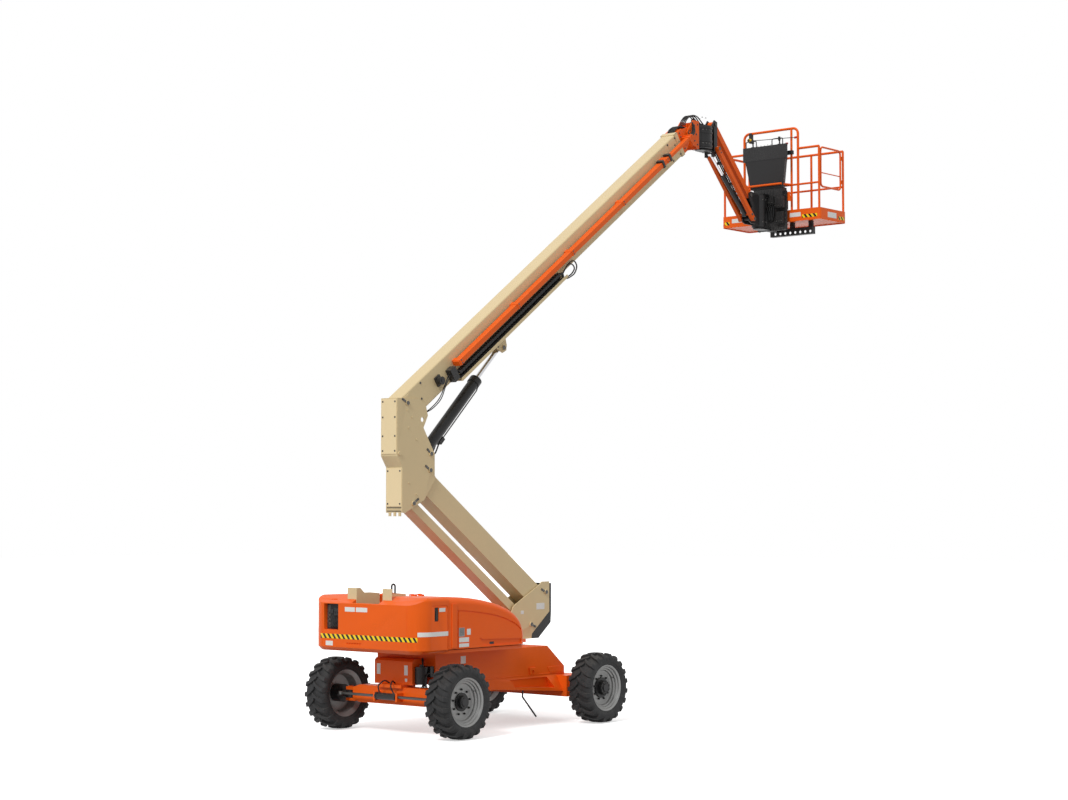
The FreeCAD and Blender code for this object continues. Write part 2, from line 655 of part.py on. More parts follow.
def hood(side):
    """One hood: a curved crown with an outer side wall, open below and towards the riser."""
    outer_y = BODY_WIDTH / 2
    inner_y = WELL_WIDTH / 2 + SEAM
    start = TAIL_X + TAIL_LENGTH
    block = hood_block(0, inner_y, outer_y)
    block = fillet_where(block, HOOD_ROUND, lambda e: e.BoundBox.YMin > outer_y - 0.5 and e.BoundBox.XLength > 100
                         and e.BoundBox.ZMax > HOOD_BOTTOM + 1)
    inside = hood_block(HOOD_WALL, inner_y - 1, outer_y - HOOD_WALL)
    ends = box(start - 50, start + 60, inner_y - 1, outer_y - HOOD_WALL, HOOD_BOTTOM - 1, BODY_TOP - HOOD_WALL)
    mouth = box(start, HOOD_END - HOOD_WALL, inner_y - 1, outer_y - HOOD_WALL, HOOD_BOTTOM - 1, HOOD_BOTTOM + 20)
    shell = block.cut([inside, ends, mouth])
    pin_y, pin_z = hood_hinge_axis()
    for along in (60, 190):
        x0 = start + along
        leaf = box(x0, x0 + 50, pin_y, pin_y + 60, BODY_TOP - HOOD_WALL, pin_z)
        knuckle = cyl_x(pin_y, pin_z, HINGE_PIN_RADIUS + 5, x0, x0 + 50)
        bore = cyl_x(pin_y, pin_z, HINGE_PIN_RADIUS + RUN, x0 - 1, x0 + 51)
        shell = shell.fuse([leaf, knuckle]).cut(bore)
    shell = shell.removeSplitter()
    return shell if side > 0 else mirrored(shell)


def make_turntable():
    half = BODY_WIDTH / 2
    hood_start = TAIL_X + TAIL_LENGTH
    deck_tail = TAIL_X + 110
    deck_tip = LOWER_BASE_X - DECK_TIP_SHORT
    deck = prism_z([
        (deck_tail, -half + 160), (hood_start, -half + 30), (HOOD_END - 30, -half + 30), (HOOD_END + 220, -300),
        (deck_tip, -DECK_TIP_HALF), (deck_tip, DECK_TIP_HALF), (HOOD_END + 220, 300), (HOOD_END - 30, half - 30),
        (hood_start, half - 30), (deck_tail, half - 160)], DECK_BOTTOM, DECK_TOP)
    well = WELL_WIDTH / 2
    pin_y, pin_z = hood_hinge_axis()
    walls = []
    for side in (1, -1):
        y0, y1 = sorted((side * well, side * (well - WELL_WALL)))
        walls.append(prism_y([
            (hood_start + 1, DECK_TOP - 1), (hood_start + 1, BODY_TOP - HOOD_WALL),
            (hood_start + 308, BODY_TOP - HOOD_WALL), (hood_start + 428, BODY_TOP - 50),
            (hood_start + 868, BODY_TOP - 160), (hood_start + 1278, BODY_TOP - 320),
            (hood_start + 1468, DECK_TOP - 1)], y0, y1))
        walls.append(cyl_x(side * pin_y, pin_z, HINGE_PIN_RADIUS, hood_start + 40, hood_start + 260))
        y0, y1 = sorted((side * (well - WELL_WALL), side * (pin_y + HINGE_PIN_RADIUS)))
        for along in (44, 246):
            walls.append(box(hood_start + along, hood_start + along + 10, y0, y1, BODY_TOP + 4, pin_z + 8))
            post = sorted((side * (well - WELL_WALL), side * well))
            walls.append(box(hood_start + along, hood_start + along + 10, post[0], post[1],
                             BODY_TOP - HOOD_WALL - 10, BODY_TOP + 5))
    save("turntable_deck", fuse([deck] + walls))

    tail = box(TAIL_X, hood_start, -half, half, TAIL_BOTTOM, BODY_TOP)
    tail = fillet_where(tail, TAIL_CORNER,
                        lambda e: runs_along(e, Vector(0, 0, 1)) and e.BoundBox.XMax < TAIL_X + 1)
    tail = tail.makeChamfer(46, [e for e in tail.Edges if e.BoundBox.ZMax < TAIL_BOTTOM + 1
                                 and e.BoundBox.XMin < hood_start - 1])
    slope = prism_y([(TAIL_X - 1, BODY_TOP - TAIL_EDGE_DROP), (TAIL_X + TAIL_EDGE_RUN, BODY_TOP + 1),
                     (TAIL_X - 1, BODY_TOP + 1)], -half - 1, half + 1)
    tail = tail.cut(slope)
    tail = fillet_where(tail, 50, lambda e: e.BoundBox.ZMin > BODY_TOP - 1 and e.BoundBox.YLength < 1)
    tail = tail.cut(box(TAIL_X + TAIL_END_WALL, hood_start + 1, -well, well, WELL_FLOOR, BODY_TOP + 1))
    tail = tail.cut(box(deck_tail, hood_start + 1, -half + 30, half - 30, TAIL_BOTTOM - 1, DECK_TOP))
    tail = tail.cut(box(TAIL_X - 1, TAIL_X + RECESS_DEPTH, RECESS_INNER, RECESS_OUTER, RECESS_BOTTOM, RECESS_TOP))
    save("tail_counterweight", tail)

    end = RISER_BASE_X + 73
    plate = [
        (end, RISER_BASE_Z + 142), (end, RISER_BASE_Z - 263), (LOWER_BASE_X + 20, LOWER_BASE_Z - 125),
        (LOWER_BASE_X + 8, DECK_TOP), (LOWER_BASE_X - 594, DECK_TOP), (LOWER_BASE_X - 355, LOWER_BASE_Z + 255),
        (RISER_BASE_X - 130, RISER_BASE_Z + 102), (RISER_BASE_X - 82, RISER_BASE_Z + 142)]
    cheeks = []
    for side in (1, -1):
        y0, y1 = sorted((side * PLATE_INNER, side * PLATE_OUTER))
        cheeks.append(prism_y(plate, y0, y1))
    pins = [cyl_y(x, z, PIN_RADIUS, -PLATE_OUTER - PIN_HEAD, PLATE_OUTER + PIN_HEAD)
            for x, z in ((RISER_BASE_X, RISER_BASE_Z), (LOWER_BASE_X, LOWER_BASE_Z))]
    inner = PLATE_INNER + 2
    foot = box(LOWER_BASE_X - 504, LOWER_BASE_X - 54, -inner, inner, DECK_TOP, DECK_TOP + 60)
    rear_web = box(end - 45, end - 27, -inner, inner, RISER_BASE_Z - 281, RISER_BASE_Z - 203)
    save("riser_base_bracket", fuse(cheeks + pins + [foot, rear_web]))
    guard_foot = RISER_BASE_X - 152
    guard_end = end + GUARD_DEPTH
    guard = prism_y([
        (end, RISER_BASE_Z + 117), (guard_end, RISER_BASE_Z + 117), (guard_end, RISER_BASE_Z - 253),
        (guard_end - 10, RISER_BASE_Z - 408), (guard_foot, DECK_TOP), (LOWER_BASE_X + 8, DECK_TOP),
        (LOWER_BASE_X + 20, LOWER_BASE_Z - 125), (end, RISER_BASE_Z - 263)], -PLATE_OUTER, PLATE_OUTER)
    save("end_guard", guard)

    start = TAIL_X + 100
    for name, side in (("left", 1), ("right", -1)):
        y0, y1 = sorted((side * (well - WELL_WALL), side * well))
        side_plate = prism_y([
            (start, WELL_FLOOR), (start, CRADLE_TOP), (start + 60, CRADLE_TOP), (start + 130, BODY_TOP + EYE_SEAT),
            (start + 230, BODY_TOP + EYE_SEAT), (hood_start - 20, BODY_TOP + 25), (hood_start - 20, WELL_FLOOR)],
            y0, y1)
        y0, y1 = sorted((side * (well - WELL_WALL), side * (well - WELL_WALL + CRADLE_FLANGE)))
        flange = box(start - WELL_WALL, start, y0, y1, BODY_TOP - TAIL_EDGE_DROP, CRADLE_TOP)
        save("well_plate_" + name, fuse([side_plate, flange.cut(tail)]))
    y = -well + WELL_WALL / 2
    foot_z = BODY_TOP + EYE_SEAT + SEAT
    eye_x0, eye_x1 = start + 150, start + 150 + EYE_SPAN
    eye = pipe([(eye_x0, y, foot_z), (eye_x0, y, foot_z + EYE_HEIGHT), (eye_x1, y, foot_z + EYE_HEIGHT),
                (eye_x1, y, foot_z)], EYE_RADIUS, EYE_SPAN / 2 - 1)
    save("lifting_eye", fuse(eye))

    battery = box(hood_start + 120, hood_start + 998, -820, -300, DECK_TOP, BODY_TOP - 260)
    save("battery_pack", battery)
    engine = box(hood_start + 120, hood_start + 948, 300, 800, DECK_TOP, BODY_TOP - 280)
    save("generator_engine", engine)
    for name, side in (("left", 1), ("right", -1)):
        save("hood_" + name, hood(side))


# ---------------------------------------------------------------- riser
def make_links():
    half = UPPER_LINK_WIDTH / 2
    length = LINK_LENGTH
    depth = UPPER_LINK_DEPTH
    outline = [(-44, -30), (-44, 40), (60, depth), (length - 70, depth), (length + 40, 60), (length + 44, -30),
               (length - 40, -44), (length - 160, 0), (160, 0), (40, -44)]
    body = prism_y(outline, -half, half)
    hollow = prism_y([(110, LINK_WALL), (110, 140), (160, depth - LINK_WALL), (length - 180, depth - LINK_WALL),
                      (length - 110, 140), (length - 110, LINK_WALL)], -half + LINK_WALL, half - LINK_WALL)
    body = body.cut(hollow)
    body = body.cut([cyl_y(s, 0, PIN_RADIUS + RUN, -half - 1, half + 1) for s in (0, length)])
    save("riser_upper_link", in_link(body, RISER_BASE_X, RISER_BASE_Z))

    half = LOWER_LINK_WIDTH / 2
    r = LOWER_LINK_DEPTH / 2
    bar = fuse([box(0, length, -half, half, -r, r), cyl_y(0, 0, r, -half, half), cyl_y(length, 0, r, -half, half)])
    bar = bar.cut(box(90, length - 90, -half + LINK_WALL, half - LINK_WALL, -r + LINK_WALL, r - LINK_WALL))
    bar = bar.cut([cyl_y(s, 0, PIN_RADIUS + RUN, -half - 1, half + 1) for s in (0, length)])
    save("riser_lower_link", in_link(bar, LOWER_BASE_X, LOWER_BASE_Z))


def upright_outline():
    """The side plate's edge, drawn from the pins it holds."""
    high_back = BOOM_PIVOT_X - UPRIGHT_BACK
    low_back = LOWER_TOP_X - UPRIGHT_LOW_BACK
    top = BOOM_PIVOT_Z + UPRIGHT_CAP
    foot = LOWER_TOP_Z - UPRIGHT_FOOT
    return [
        (high_back, top), (high_back, LIFT_BASE_Z - 38), (low_back, RISER_TOP_Z + 29), (low_back, foot),
        (low_back + 54, foot - 4), (LOWER_TOP_X + 195, LOWER_TOP_Z + 39), (RISER_TOP_X + 85, RISER_TOP_Z - 126),
        (LIFT_BASE_X + 71, LIFT_BASE_Z + 3), (LIFT_BASE_X - 138, LIFT_BASE_Z + 326),
        (BOOM_PIVOT_X + 378, BOOM_PIVOT_Z - 146), (BOOM_PIVOT_X + 338, BOOM_PIVOT_Z - 11), (BOOM_PIVOT_X + 218, top)]


def make_upright():
    outline = upright_outline()
    plates = []
    for side in (1, -1):
        y0, y1 = sorted((side * PLATE_INNER, side * PLATE_OUTER))
        plates.append(prism_y(outline, y0, y1))
    inner = PLATE_INNER + 2
    (high_back, top), (_, knee_high), (low_back, knee_low), (_, foot) = outline[:4]
    skin = UPRIGHT_SKIN
    back_high = box(high_back, high_back + skin, -inner, inner, knee_high, top)
    back_low = box(low_back, low_back + skin, -inner, inner, foot, knee_low)
    back_mid = prism_y([
        (high_back, knee_high), (low_back, knee_low), (low_back + skin, knee_low), (low_back + skin, knee_low + 7),
        (high_back + skin, knee_high + 7), (high_back, knee_high + 7)], -inner, inner)
    middle = BOOM_PIVOT_Z - 421
    stiffener = box(high_back + 100, LIFT_BASE_X - 177, -inner, inner, middle, middle + skin)
    pins = [cyl_y(x, z, PIN_RADIUS, -PLATE_OUTER - PIN_HEAD, PLATE_OUTER + PIN_HEAD)
            for x, z in ((RISER_TOP_X, RISER_TOP_Z), (LOWER_TOP_X, LOWER_TOP_Z), (BOOM_PIVOT_X, BOOM_PIVOT_Z),
                         (LIFT_BASE_X, LIFT_BASE_Z))]
    save("upright_frame", fuse(plates + [back_high, back_low, back_mid, stiffener] + pins))


# ---------------------------------------------------------------- main boom
def pad_ring(s0, s1, half, low, high, thickness):
    """Four wear pads that stand inward from the walls of a box section."""
    reach = half - 40
    return [
        box(s0, s1, -half, -half + thickness, low + 60, high - 60),
        box(s0, s1, half - thickness, half, low + 60, high - 60),
        box(s0, s1, -reach, reach, low, low + thickness),
        box(s0, s1, -reach, reach, high - thickness, high)]


def make_boom():
    half = BOOM_WIDTH / 2
    low, high = -BOOM_BELOW_PIVOT, BOOM_ABOVE_PIVOT
    outer = prism_y([
        (-BOOM_TAIL, high - 40), (-BOOM_TAIL + 40, high), (BOOM_LENGTH, high), (BOOM_LENGTH, low), (90, low),
        (-BOOM_TAIL, low + 150)], -half, half)
    outer = fillet_where(outer, 22, lambda e: runs_along(e, Vector(1, 0, 0)) and e.BoundBox.XLength > 3000)
    inner = box(170, BOOM_LENGTH + 1, -half + BOOM_WALL, half - BOOM_WALL, low + BOOM_WALL, high - BOOM_WALL)
    tube = outer.cut(inner)
    tube = tube.cut(cyl_y(0, 0, PIN_RADIUS + RUN, -half - 1, half + 1))
    lug_plate = [
        (LIFT_LUG_ALONG - 190, low + 2), (LIFT_LUG_ALONG + 150, low + 2), (LIFT_LUG_ALONG + 80, -LIFT_LUG_BELOW - 10),
        (LIFT_LUG_ALONG + 30, -LIFT_LUG_BELOW - 62), (LIFT_LUG_ALONG - 50, -LIFT_LUG_BELOW - 50)]
    lugs = []
    for side in (1, -1):
        y0, y1 = sorted((side * 62, side * 82))
        lugs.append(prism_y(lug_plate, y0, y1))
        y0, y1 = sorted((side * 56, side * 96))
        lugs.append(cyl_y(LIFT_LUG_ALONG, -LIFT_LUG_BELOW, PIN_RADIUS, y0, y1))
    pads = pad_ring(BOOM_LENGTH - 150, BOOM_LENGTH - 30, half - BOOM_WALL + 1, low + BOOM_WALL - 1,
                    high - BOOM_WALL + 1, FLY_CLEARANCE + 1 - WEAR_PAD_GAP)
    save("main_boom", in_boom(fuse([tube] + lugs + pads)))

    y0 = -half - SIDE_TUBE_STANDOFF
    y1 = y0 - SIDE_TUBE_WIDTH
    z1 = SIDE_TUBE_TOP
    z0 = z1 - SIDE_TUBE_HEIGHT
    wall = SIDE_TUBE_WALL
    shell = box(SIDE_TUBE_START, SIDE_TUBE_END, y1, y0, z0, z1)
    shell = shell.cut(box(SIDE_TUBE_START + 20, SIDE_TUBE_END + 1, y1 + wall, y0 - wall, z0 + wall, z1 - wall))
    clips = [box(s, s + 60, y0 - 1, -half, z0 + 8, z1 - 8) for s in
             (SIDE_TUBE_START + 40, 2400, 3800, 5200, SIDE_TUBE_END - 120)]
    save("hose_tube_outer", in_boom(fuse([shell] + clips)))

    tray_y0 = -half - 12 - CARRIER_WIDTH - 20
    tray = box(CARRIER_START, CARRIER_END + 20, tray_y0, -half, low - 40, low - 28)
    lip = box(CARRIER_START, CARRIER_END + 20, tray_y0, tray_y0 + 6, low - 40, low + 4)
    post = box(CARRIER_START, CARRIER_END + 20, -half - 8, -half, low - 40, low + 60)
    save("carrier_tray", in_boom(fuse([tray, lip, post])))
    carrier = box(CARRIER_START + 40, CARRIER_END, -half - 12 - CARRIER_WIDTH, -half - 12, low - 28 + SEAT,
                  low - 28 + CARRIER_HEIGHT)
    save("cable_carrier", in_boom(carrier))
    pulley = box(CARRIER_START - 110, CARRIER_START - 1, -half - 96, -half, low + 10, low + 190)
    save("carrier_anchor", in_boom(pulley))

    # The fly section and its head ears
    gap = BOOM_WALL + FLY_CLEARANCE
    fly_half = FLY_HALF
    fly_low, fly_high = low + gap, high - gap
    fly = hollow_bar(FLY_START, FLY_END, fly_half, fly_low, fly_high, FLY_WALL)
    cap = box(FLY_END - 12, FLY_END, -fly_half, fly_half, fly_low, fly_high)
    collar = box(BOOM_LENGTH + 12, BOOM_LENGTH + 112, -fly_half - 14, fly_half + 14, fly_low - 22, fly_high + 14)
    collar = collar.cut(box(BOOM_LENGTH, BOOM_LENGTH + 200, -fly_half + 2, fly_half - 2, fly_low + 2, fly_high - 2))
    ears = []
    for side in (1, -1):
        y0, y1 = sorted((side * (fly_half - HEAD_PLATE), side * fly_half))
        ears.append(prism_y([
            (FLY_END - 40, fly_high), (HEAD_PIVOT + 20, 44 - HEAD_PIVOT_DROP + 40), (HEAD_PIVOT + 86, -HEAD_PIVOT_DROP),
            (HEAD_PIVOT + 30, -HEAD_PIVOT_DROP - 80), (FLY_END - 40, fly_low)], y0, y1))
    pin = cyl_y(HEAD_PIVOT, -HEAD_PIVOT_DROP, HEAD_PIN_RADIUS, -fly_half - 36, fly_half + 36)
    edge = gap - BOOM_WALL
    shoes = pad_ring(FLY_START + 20, FLY_START + 140, fly_half + edge - WEAR_PAD_GAP,
                     fly_low - edge + WEAR_PAD_GAP, fly_high + edge - WEAR_PAD_GAP, edge + 1)
    save("fly_boom", in_boom(fuse([fly, cap, collar, pin] + ears + shoes)))

    y0 = -half - SIDE_TUBE_STANDOFF
    y1 = y0 - SIDE_TUBE_WIDTH
    inner_gap = SIDE_TUBE_WALL + 5
    z1 = SIDE_TUBE_TOP - inner_gap
    z0 = SIDE_TUBE_TOP - SIDE_TUBE_HEIGHT + inner_gap
    slide_tube = box(2000, HEAD_PIVOT - 100, y1 + inner_gap, y0 - inner_gap, z0, z1)
    end_lug = box(FLY_END - 50, FLY_END - 6, y0 - inner_gap - 1, -fly_half, z0 + 4, z1 - 4)
    save("hose_tube_inner", in_boom(fuse([slide_tube, end_lug])))


def make_lift_cylinder():
    rod_x = BOOM_PIVOT_X + LIFT_LUG_ALONG * math.cos(BOOM_RAD) + LIFT_LUG_BELOW * math.sin(BOOM_RAD)
    rod_z = BOOM_PIVOT_Z + LIFT_LUG_ALONG * math.sin(BOOM_RAD) - LIFT_LUG_BELOW * math.cos(BOOM_RAD)
    length = math.hypot(rod_x - LIFT_BASE_X, rod_z - LIFT_BASE_Z)
    angle = math.degrees(math.atan2(rod_z - LIFT_BASE_Z, rod_x - LIFT_BASE_X))
    barrel = fuse([
        cyl_x(0, 0, LIFT_BARREL_RADIUS, 70, LIFT_BARREL_LENGTH),
        cyl_x(0, 0, LIFT_BARREL_RADIUS + 10, LIFT_BARREL_LENGTH - LIFT_COLLAR, LIFT_BARREL_LENGTH),
        box(-20, 90, -46, 46, -46, 46), cyl_y(0, 0, 58, -46, 46)])
    barrel = barrel.cut(cyl_y(0, 0, PIN_RADIUS + RUN, -80, 80))
    barrel = barrel.cut(cyl_x(0, 0, LIFT_ROD_RADIUS + SEAT, 110, LIFT_BARREL_LENGTH + 1))
    save("lift_cylinder_barrel", tilted(barrel, LIFT_BASE_X, LIFT_BASE_Z, angle))
    rod = fuse([cyl_x(0, 0, LIFT_ROD_RADIUS, LIFT_BARREL_LENGTH - LIFT_ROD_INSIDE, length - 40), cyl_y(length, 0, 50, -40, 40),
                cyl_y(length, 0, PIN_RADIUS, -56 + SEAT, 56 - SEAT)])
    save("lift_cylinder_rod", tilted(rod, LIFT_BASE_X, LIFT_BASE_Z, angle))


# ---------------------------------------------------------------- boom head and jib
def make_head():
    px, pz = HEAD_X, HEAD_Z
    inner = FLY_HALF + SIDE_GAP
    cheeks = []
    for side in (1, -1):
        y0, y1 = sorted((side * inner, side * (inner + HEAD_PLATE)))
        plate = prism_y([
            (px - 20, pz + 72), (px + 90, HEAD_TOP), (HEAD_FACE_X, HEAD_TOP), (HEAD_FACE_X, HEAD_BOTTOM),
            (px + 100, HEAD_BOTTOM + 40), (px - 30, pz - 66), (px - 70, pz)], y0, y1)
        cheeks.append(plate.cut(cyl_y(px, pz, HEAD_PIN_RADIUS + RUN, -300, 300)))
    half = inner + HEAD_PLATE
    face = box(HEAD_FACE_X - 18, HEAD_FACE_X, -half, half, HEAD_BOTTOM, HEAD_TOP)
    save("head_bracket", fuse(cheeks + [face]))
    housing = cyl_z(JIB_SWING_X, 0, ACTUATOR_RADIUS, ACTUATOR_BOTTOM, ACTUATOR_TOP)
    flange = box(HEAD_FACE_X, JIB_SWING_X, -95, 95, ACTUATOR_BOTTOM + 20, ACTUATOR_TOP - 20)
    save("jib_swing_actuator", fuse([housing, flange]))


def ear_pair(points, outer, thickness):
    plates = []
    for side in (1, -1):
        y0, y1 = sorted((side * (outer - thickness), side * outer))
        plates.append(prism_y(points, y0, y1))
    return plates


def make_jib():
    upper_z = JIB_PIVOT_Z + JIB_OFFSET_Z
    back = JIB_SWING_X + ACTUATOR_RADIUS + 20
    gap = SIDE_GAP
    plates = ear_pair([
        (back, JIB_PIVOT_Z - 130), (JIB_PIVOT_X - 30, JIB_PIVOT_Z - 130), (JIB_PIVOT_X + 44, JIB_PIVOT_Z - 20),
        (JIB_PIVOT_X + 44, upper_z + 40), (JIB_PIVOT_X - 30, upper_z + 66), (back, upper_z - 20)],
        JIB_EAR_OUTER, JIB_EAR_THICKNESS)
    web = box(back, back + 18, -110, 110, ACTUATOR_BOTTOM - 26, ACTUATOR_TOP + 26)
    arms = []
    for z0, z1 in ((ACTUATOR_TOP + gap, ACTUATOR_TOP + gap + 20), (ACTUATOR_BOTTOM - gap - 20, ACTUATOR_BOTTOM - gap)):
        arms.append(box(JIB_SWING_X, back + 4, -90, 90, z0, z1))
        arms.append(cyl_z(JIB_SWING_X, 0, 90, z0, z1))
    stubs = [cyl_z(JIB_SWING_X, 0, 60, ACTUATOR_TOP + SEAT, ACTUATOR_TOP + gap + 1),
             cyl_z(JIB_SWING_X, 0, 60, ACTUATOR_BOTTOM - gap - 1, ACTUATOR_BOTTOM - SEAT)]
    reach = JIB_TUBE_OUTER + 8
    pins = [cyl_y(JIB_PIVOT_X, upper_z, JIB_PIN_RADIUS, -JIB_EAR_OUTER - 8, JIB_EAR_OUTER + 8)]
    # The lower pins stop at the ears, so that the cylinder's rod swings between them
    stub = cyl_y(JIB_PIVOT_X, JIB_PIVOT_Z, JIB_PIN_RADIUS, JIB_EAR_INNER, reach)
    pins += [stub, mirrored(stub)]
    save("jib_knuckle", fuse(plates + [web] + arms + stubs + pins))

    half_h = JIB_TUBE_HEIGHT / 2
    tubes = []
    for side in (1, -1):
        y0, y1 = sorted((side * JIB_TUBE_INNER, side * JIB_TUBE_OUTER))
        bar = fuse([box(0, JIB_LENGTH, y0, y1, -half_h, half_h), cyl_y(0, 0, half_h, y0, y1),
                    cyl_y(JIB_LENGTH, 0, half_h, y0, y1)])
        bar = bar.cut([cyl_y(s, 0, JIB_PIN_RADIUS + RUN, y0 - 1, y1 + 1) for s in (0, JIB_LENGTH)])
        tubes.append(bar)
    cross_half = JIB_TUBE_INNER + 2
    cross = cyl_y(JIB_CYLINDER_BASE_ALONG, 0, JIB_PIN_RADIUS - 4, -cross_half, cross_half)
    save("jib_lower_links", in_jib(fuse(tubes + [cross]), JIB_PIVOT_X, JIB_PIVOT_Z))

    half = JIB_EAR_INNER - 4
    half_w = min(JIB_UPPER_WIDTH / 2, half)
    half_h = JIB_UPPER_HEIGHT / 2
    bar = fuse([box(0, JIB_LENGTH, -half_w, half_w, -half_h, half_h), cyl_y(0, 0, half_h, -half_w, half_w),
                cyl_y(JIB_LENGTH, 0, half_h, -half_w, half_w)])
    bar = bar.cut(box(80, JIB_LENGTH - 80, -half_w + 6, half_w - 6, -half_h + 6, half_h - 6))
    bar = bar.cut([cyl_y(s, 0, JIB_PIN_RADIUS + RUN, -half_w - 1, half_w + 1) for s in (0, JIB_LENGTH)])
    save("jib_upper_link", in_jib(bar, JIB_PIVOT_X, upper_z))

    # Jib cylinder: barrel on the lower links' cross pin, rod towards the knuckle
    base_x = JIB_PIVOT_X + JIB_CYLINDER_BASE_ALONG * math.cos(JIB_RAD)
    base_z = JIB_PIVOT_Z + JIB_CYLINDER_BASE_ALONG * math.sin(JIB_RAD)
    rod_x, rod_z = JIB_PIVOT_X - JIB_ROD_PIN_BACK, JIB_PIVOT_Z - JIB_ROD_PIN_DROP
    length = math.hypot(rod_x - base_x, rod_z - base_z)
    angle = math.degrees(math.atan2(rod_z - base_z, rod_x - base_x))
    barrel = fuse([cyl_x(0, 0, JIB_BARREL_RADIUS, 24, JIB_BARREL_LENGTH), cyl_y(0, 0, 34, -34, 34)])
    barrel = barrel.cut(cyl_y(0, 0, JIB_PIN_RADIUS - 4 + RUN, -80, 80))
    barrel = barrel.cut(cyl_x(0, 0, JIB_ROD_RADIUS + SEAT, 80, JIB_BARREL_LENGTH + 1))
    save("jib_cylinder_barrel", tilted(barrel, base_x, base_z, angle))
    rod = fuse([cyl_x(0, 0, JIB_ROD_RADIUS, JIB_BARREL_LENGTH - JIB_ROD_INSIDE, length - 20), cyl_y(length, 0, 26, -30, 30),
                cyl_y(length, 0, JIB_PIN_RADIUS - 4, -JIB_EAR_INNER + SEAT, JIB_EAR_INNER - SEAT)])
    save("jib_cylinder_rod", tilted(rod, base_x, base_z, angle))


# ---------------------------------------------------------------- platform
def make_support():
    upper_z = SUPPORT_Z + JIB_OFFSET_Z
    face = ROTATOR_X - ROTATOR_RADIUS + 30
    plates = ear_pair([
        (SUPPORT_X - 40, SUPPORT_Z - 40), (SUPPORT_X + 20, SUPPORT_Z - 66), (face, SUPPORT_Z - 66),
        (face, upper_z + 20), (SUPPORT_X + 20, upper_z + 60), (SUPPORT_X - 44, upper_z + 30),
        (SUPPORT_X - 44, upper_z - 30), (SUPPORT_X + 46, SUPPORT_Z + 190), (SUPPORT_X - 40, SUPPORT_Z + 40)],
        JIB_EAR_OUTER, JIB_EAR_THICKNESS)
    reach = JIB_TUBE_OUTER + 8
    pins = [cyl_y(SUPPORT_X, SUPPORT_Z, JIB_PIN_RADIUS, -reach, reach),
            cyl_y(SUPPORT_X, upper_z, JIB_PIN_RADIUS, -JIB_EAR_OUTER - 8, JIB_EAR_OUTER + 8)]
    body = cyl_z(ROTATOR_X, 0, ROTATOR_RADIUS, ROTATOR_BOTTOM, ROTATOR_TOP)
    neck = box(face - 60, ROTATOR_X, -JIB_EAR_OUTER, JIB_EAR_OUTER, ROTATOR_BOTTOM + 40, ROTATOR_TOP - 40)
    save("platform_support", fuse(plates + pins + [body, neck]))


def rail_lines():
    """X of the near and far rails and distance across of the side rails."""
    return PLATFORM_NEAR_X + RAIL_INSET, PLATFORM_FAR_X - RAIL_INSET, PLATFORM_WIDTH / 2 - RAIL_INSET


def rail_posts():
    """X and Y of the upright tubes that end at the top rail, and of the hoop's two legs."""
    near_x, far_x, side_y = rail_lines()
    near = [(near_x, y) for y in (side_y, MIDDLE_POST_Y, -side_y)]
    far = [(far_x, y) for y in (side_y, SIDE_POST_Y, -SIDE_POST_Y, -side_y)]
    return near + far, [(near_x, HOOP_HALF_WIDTH), (near_x, -HOOP_HALF_WIDTH)]


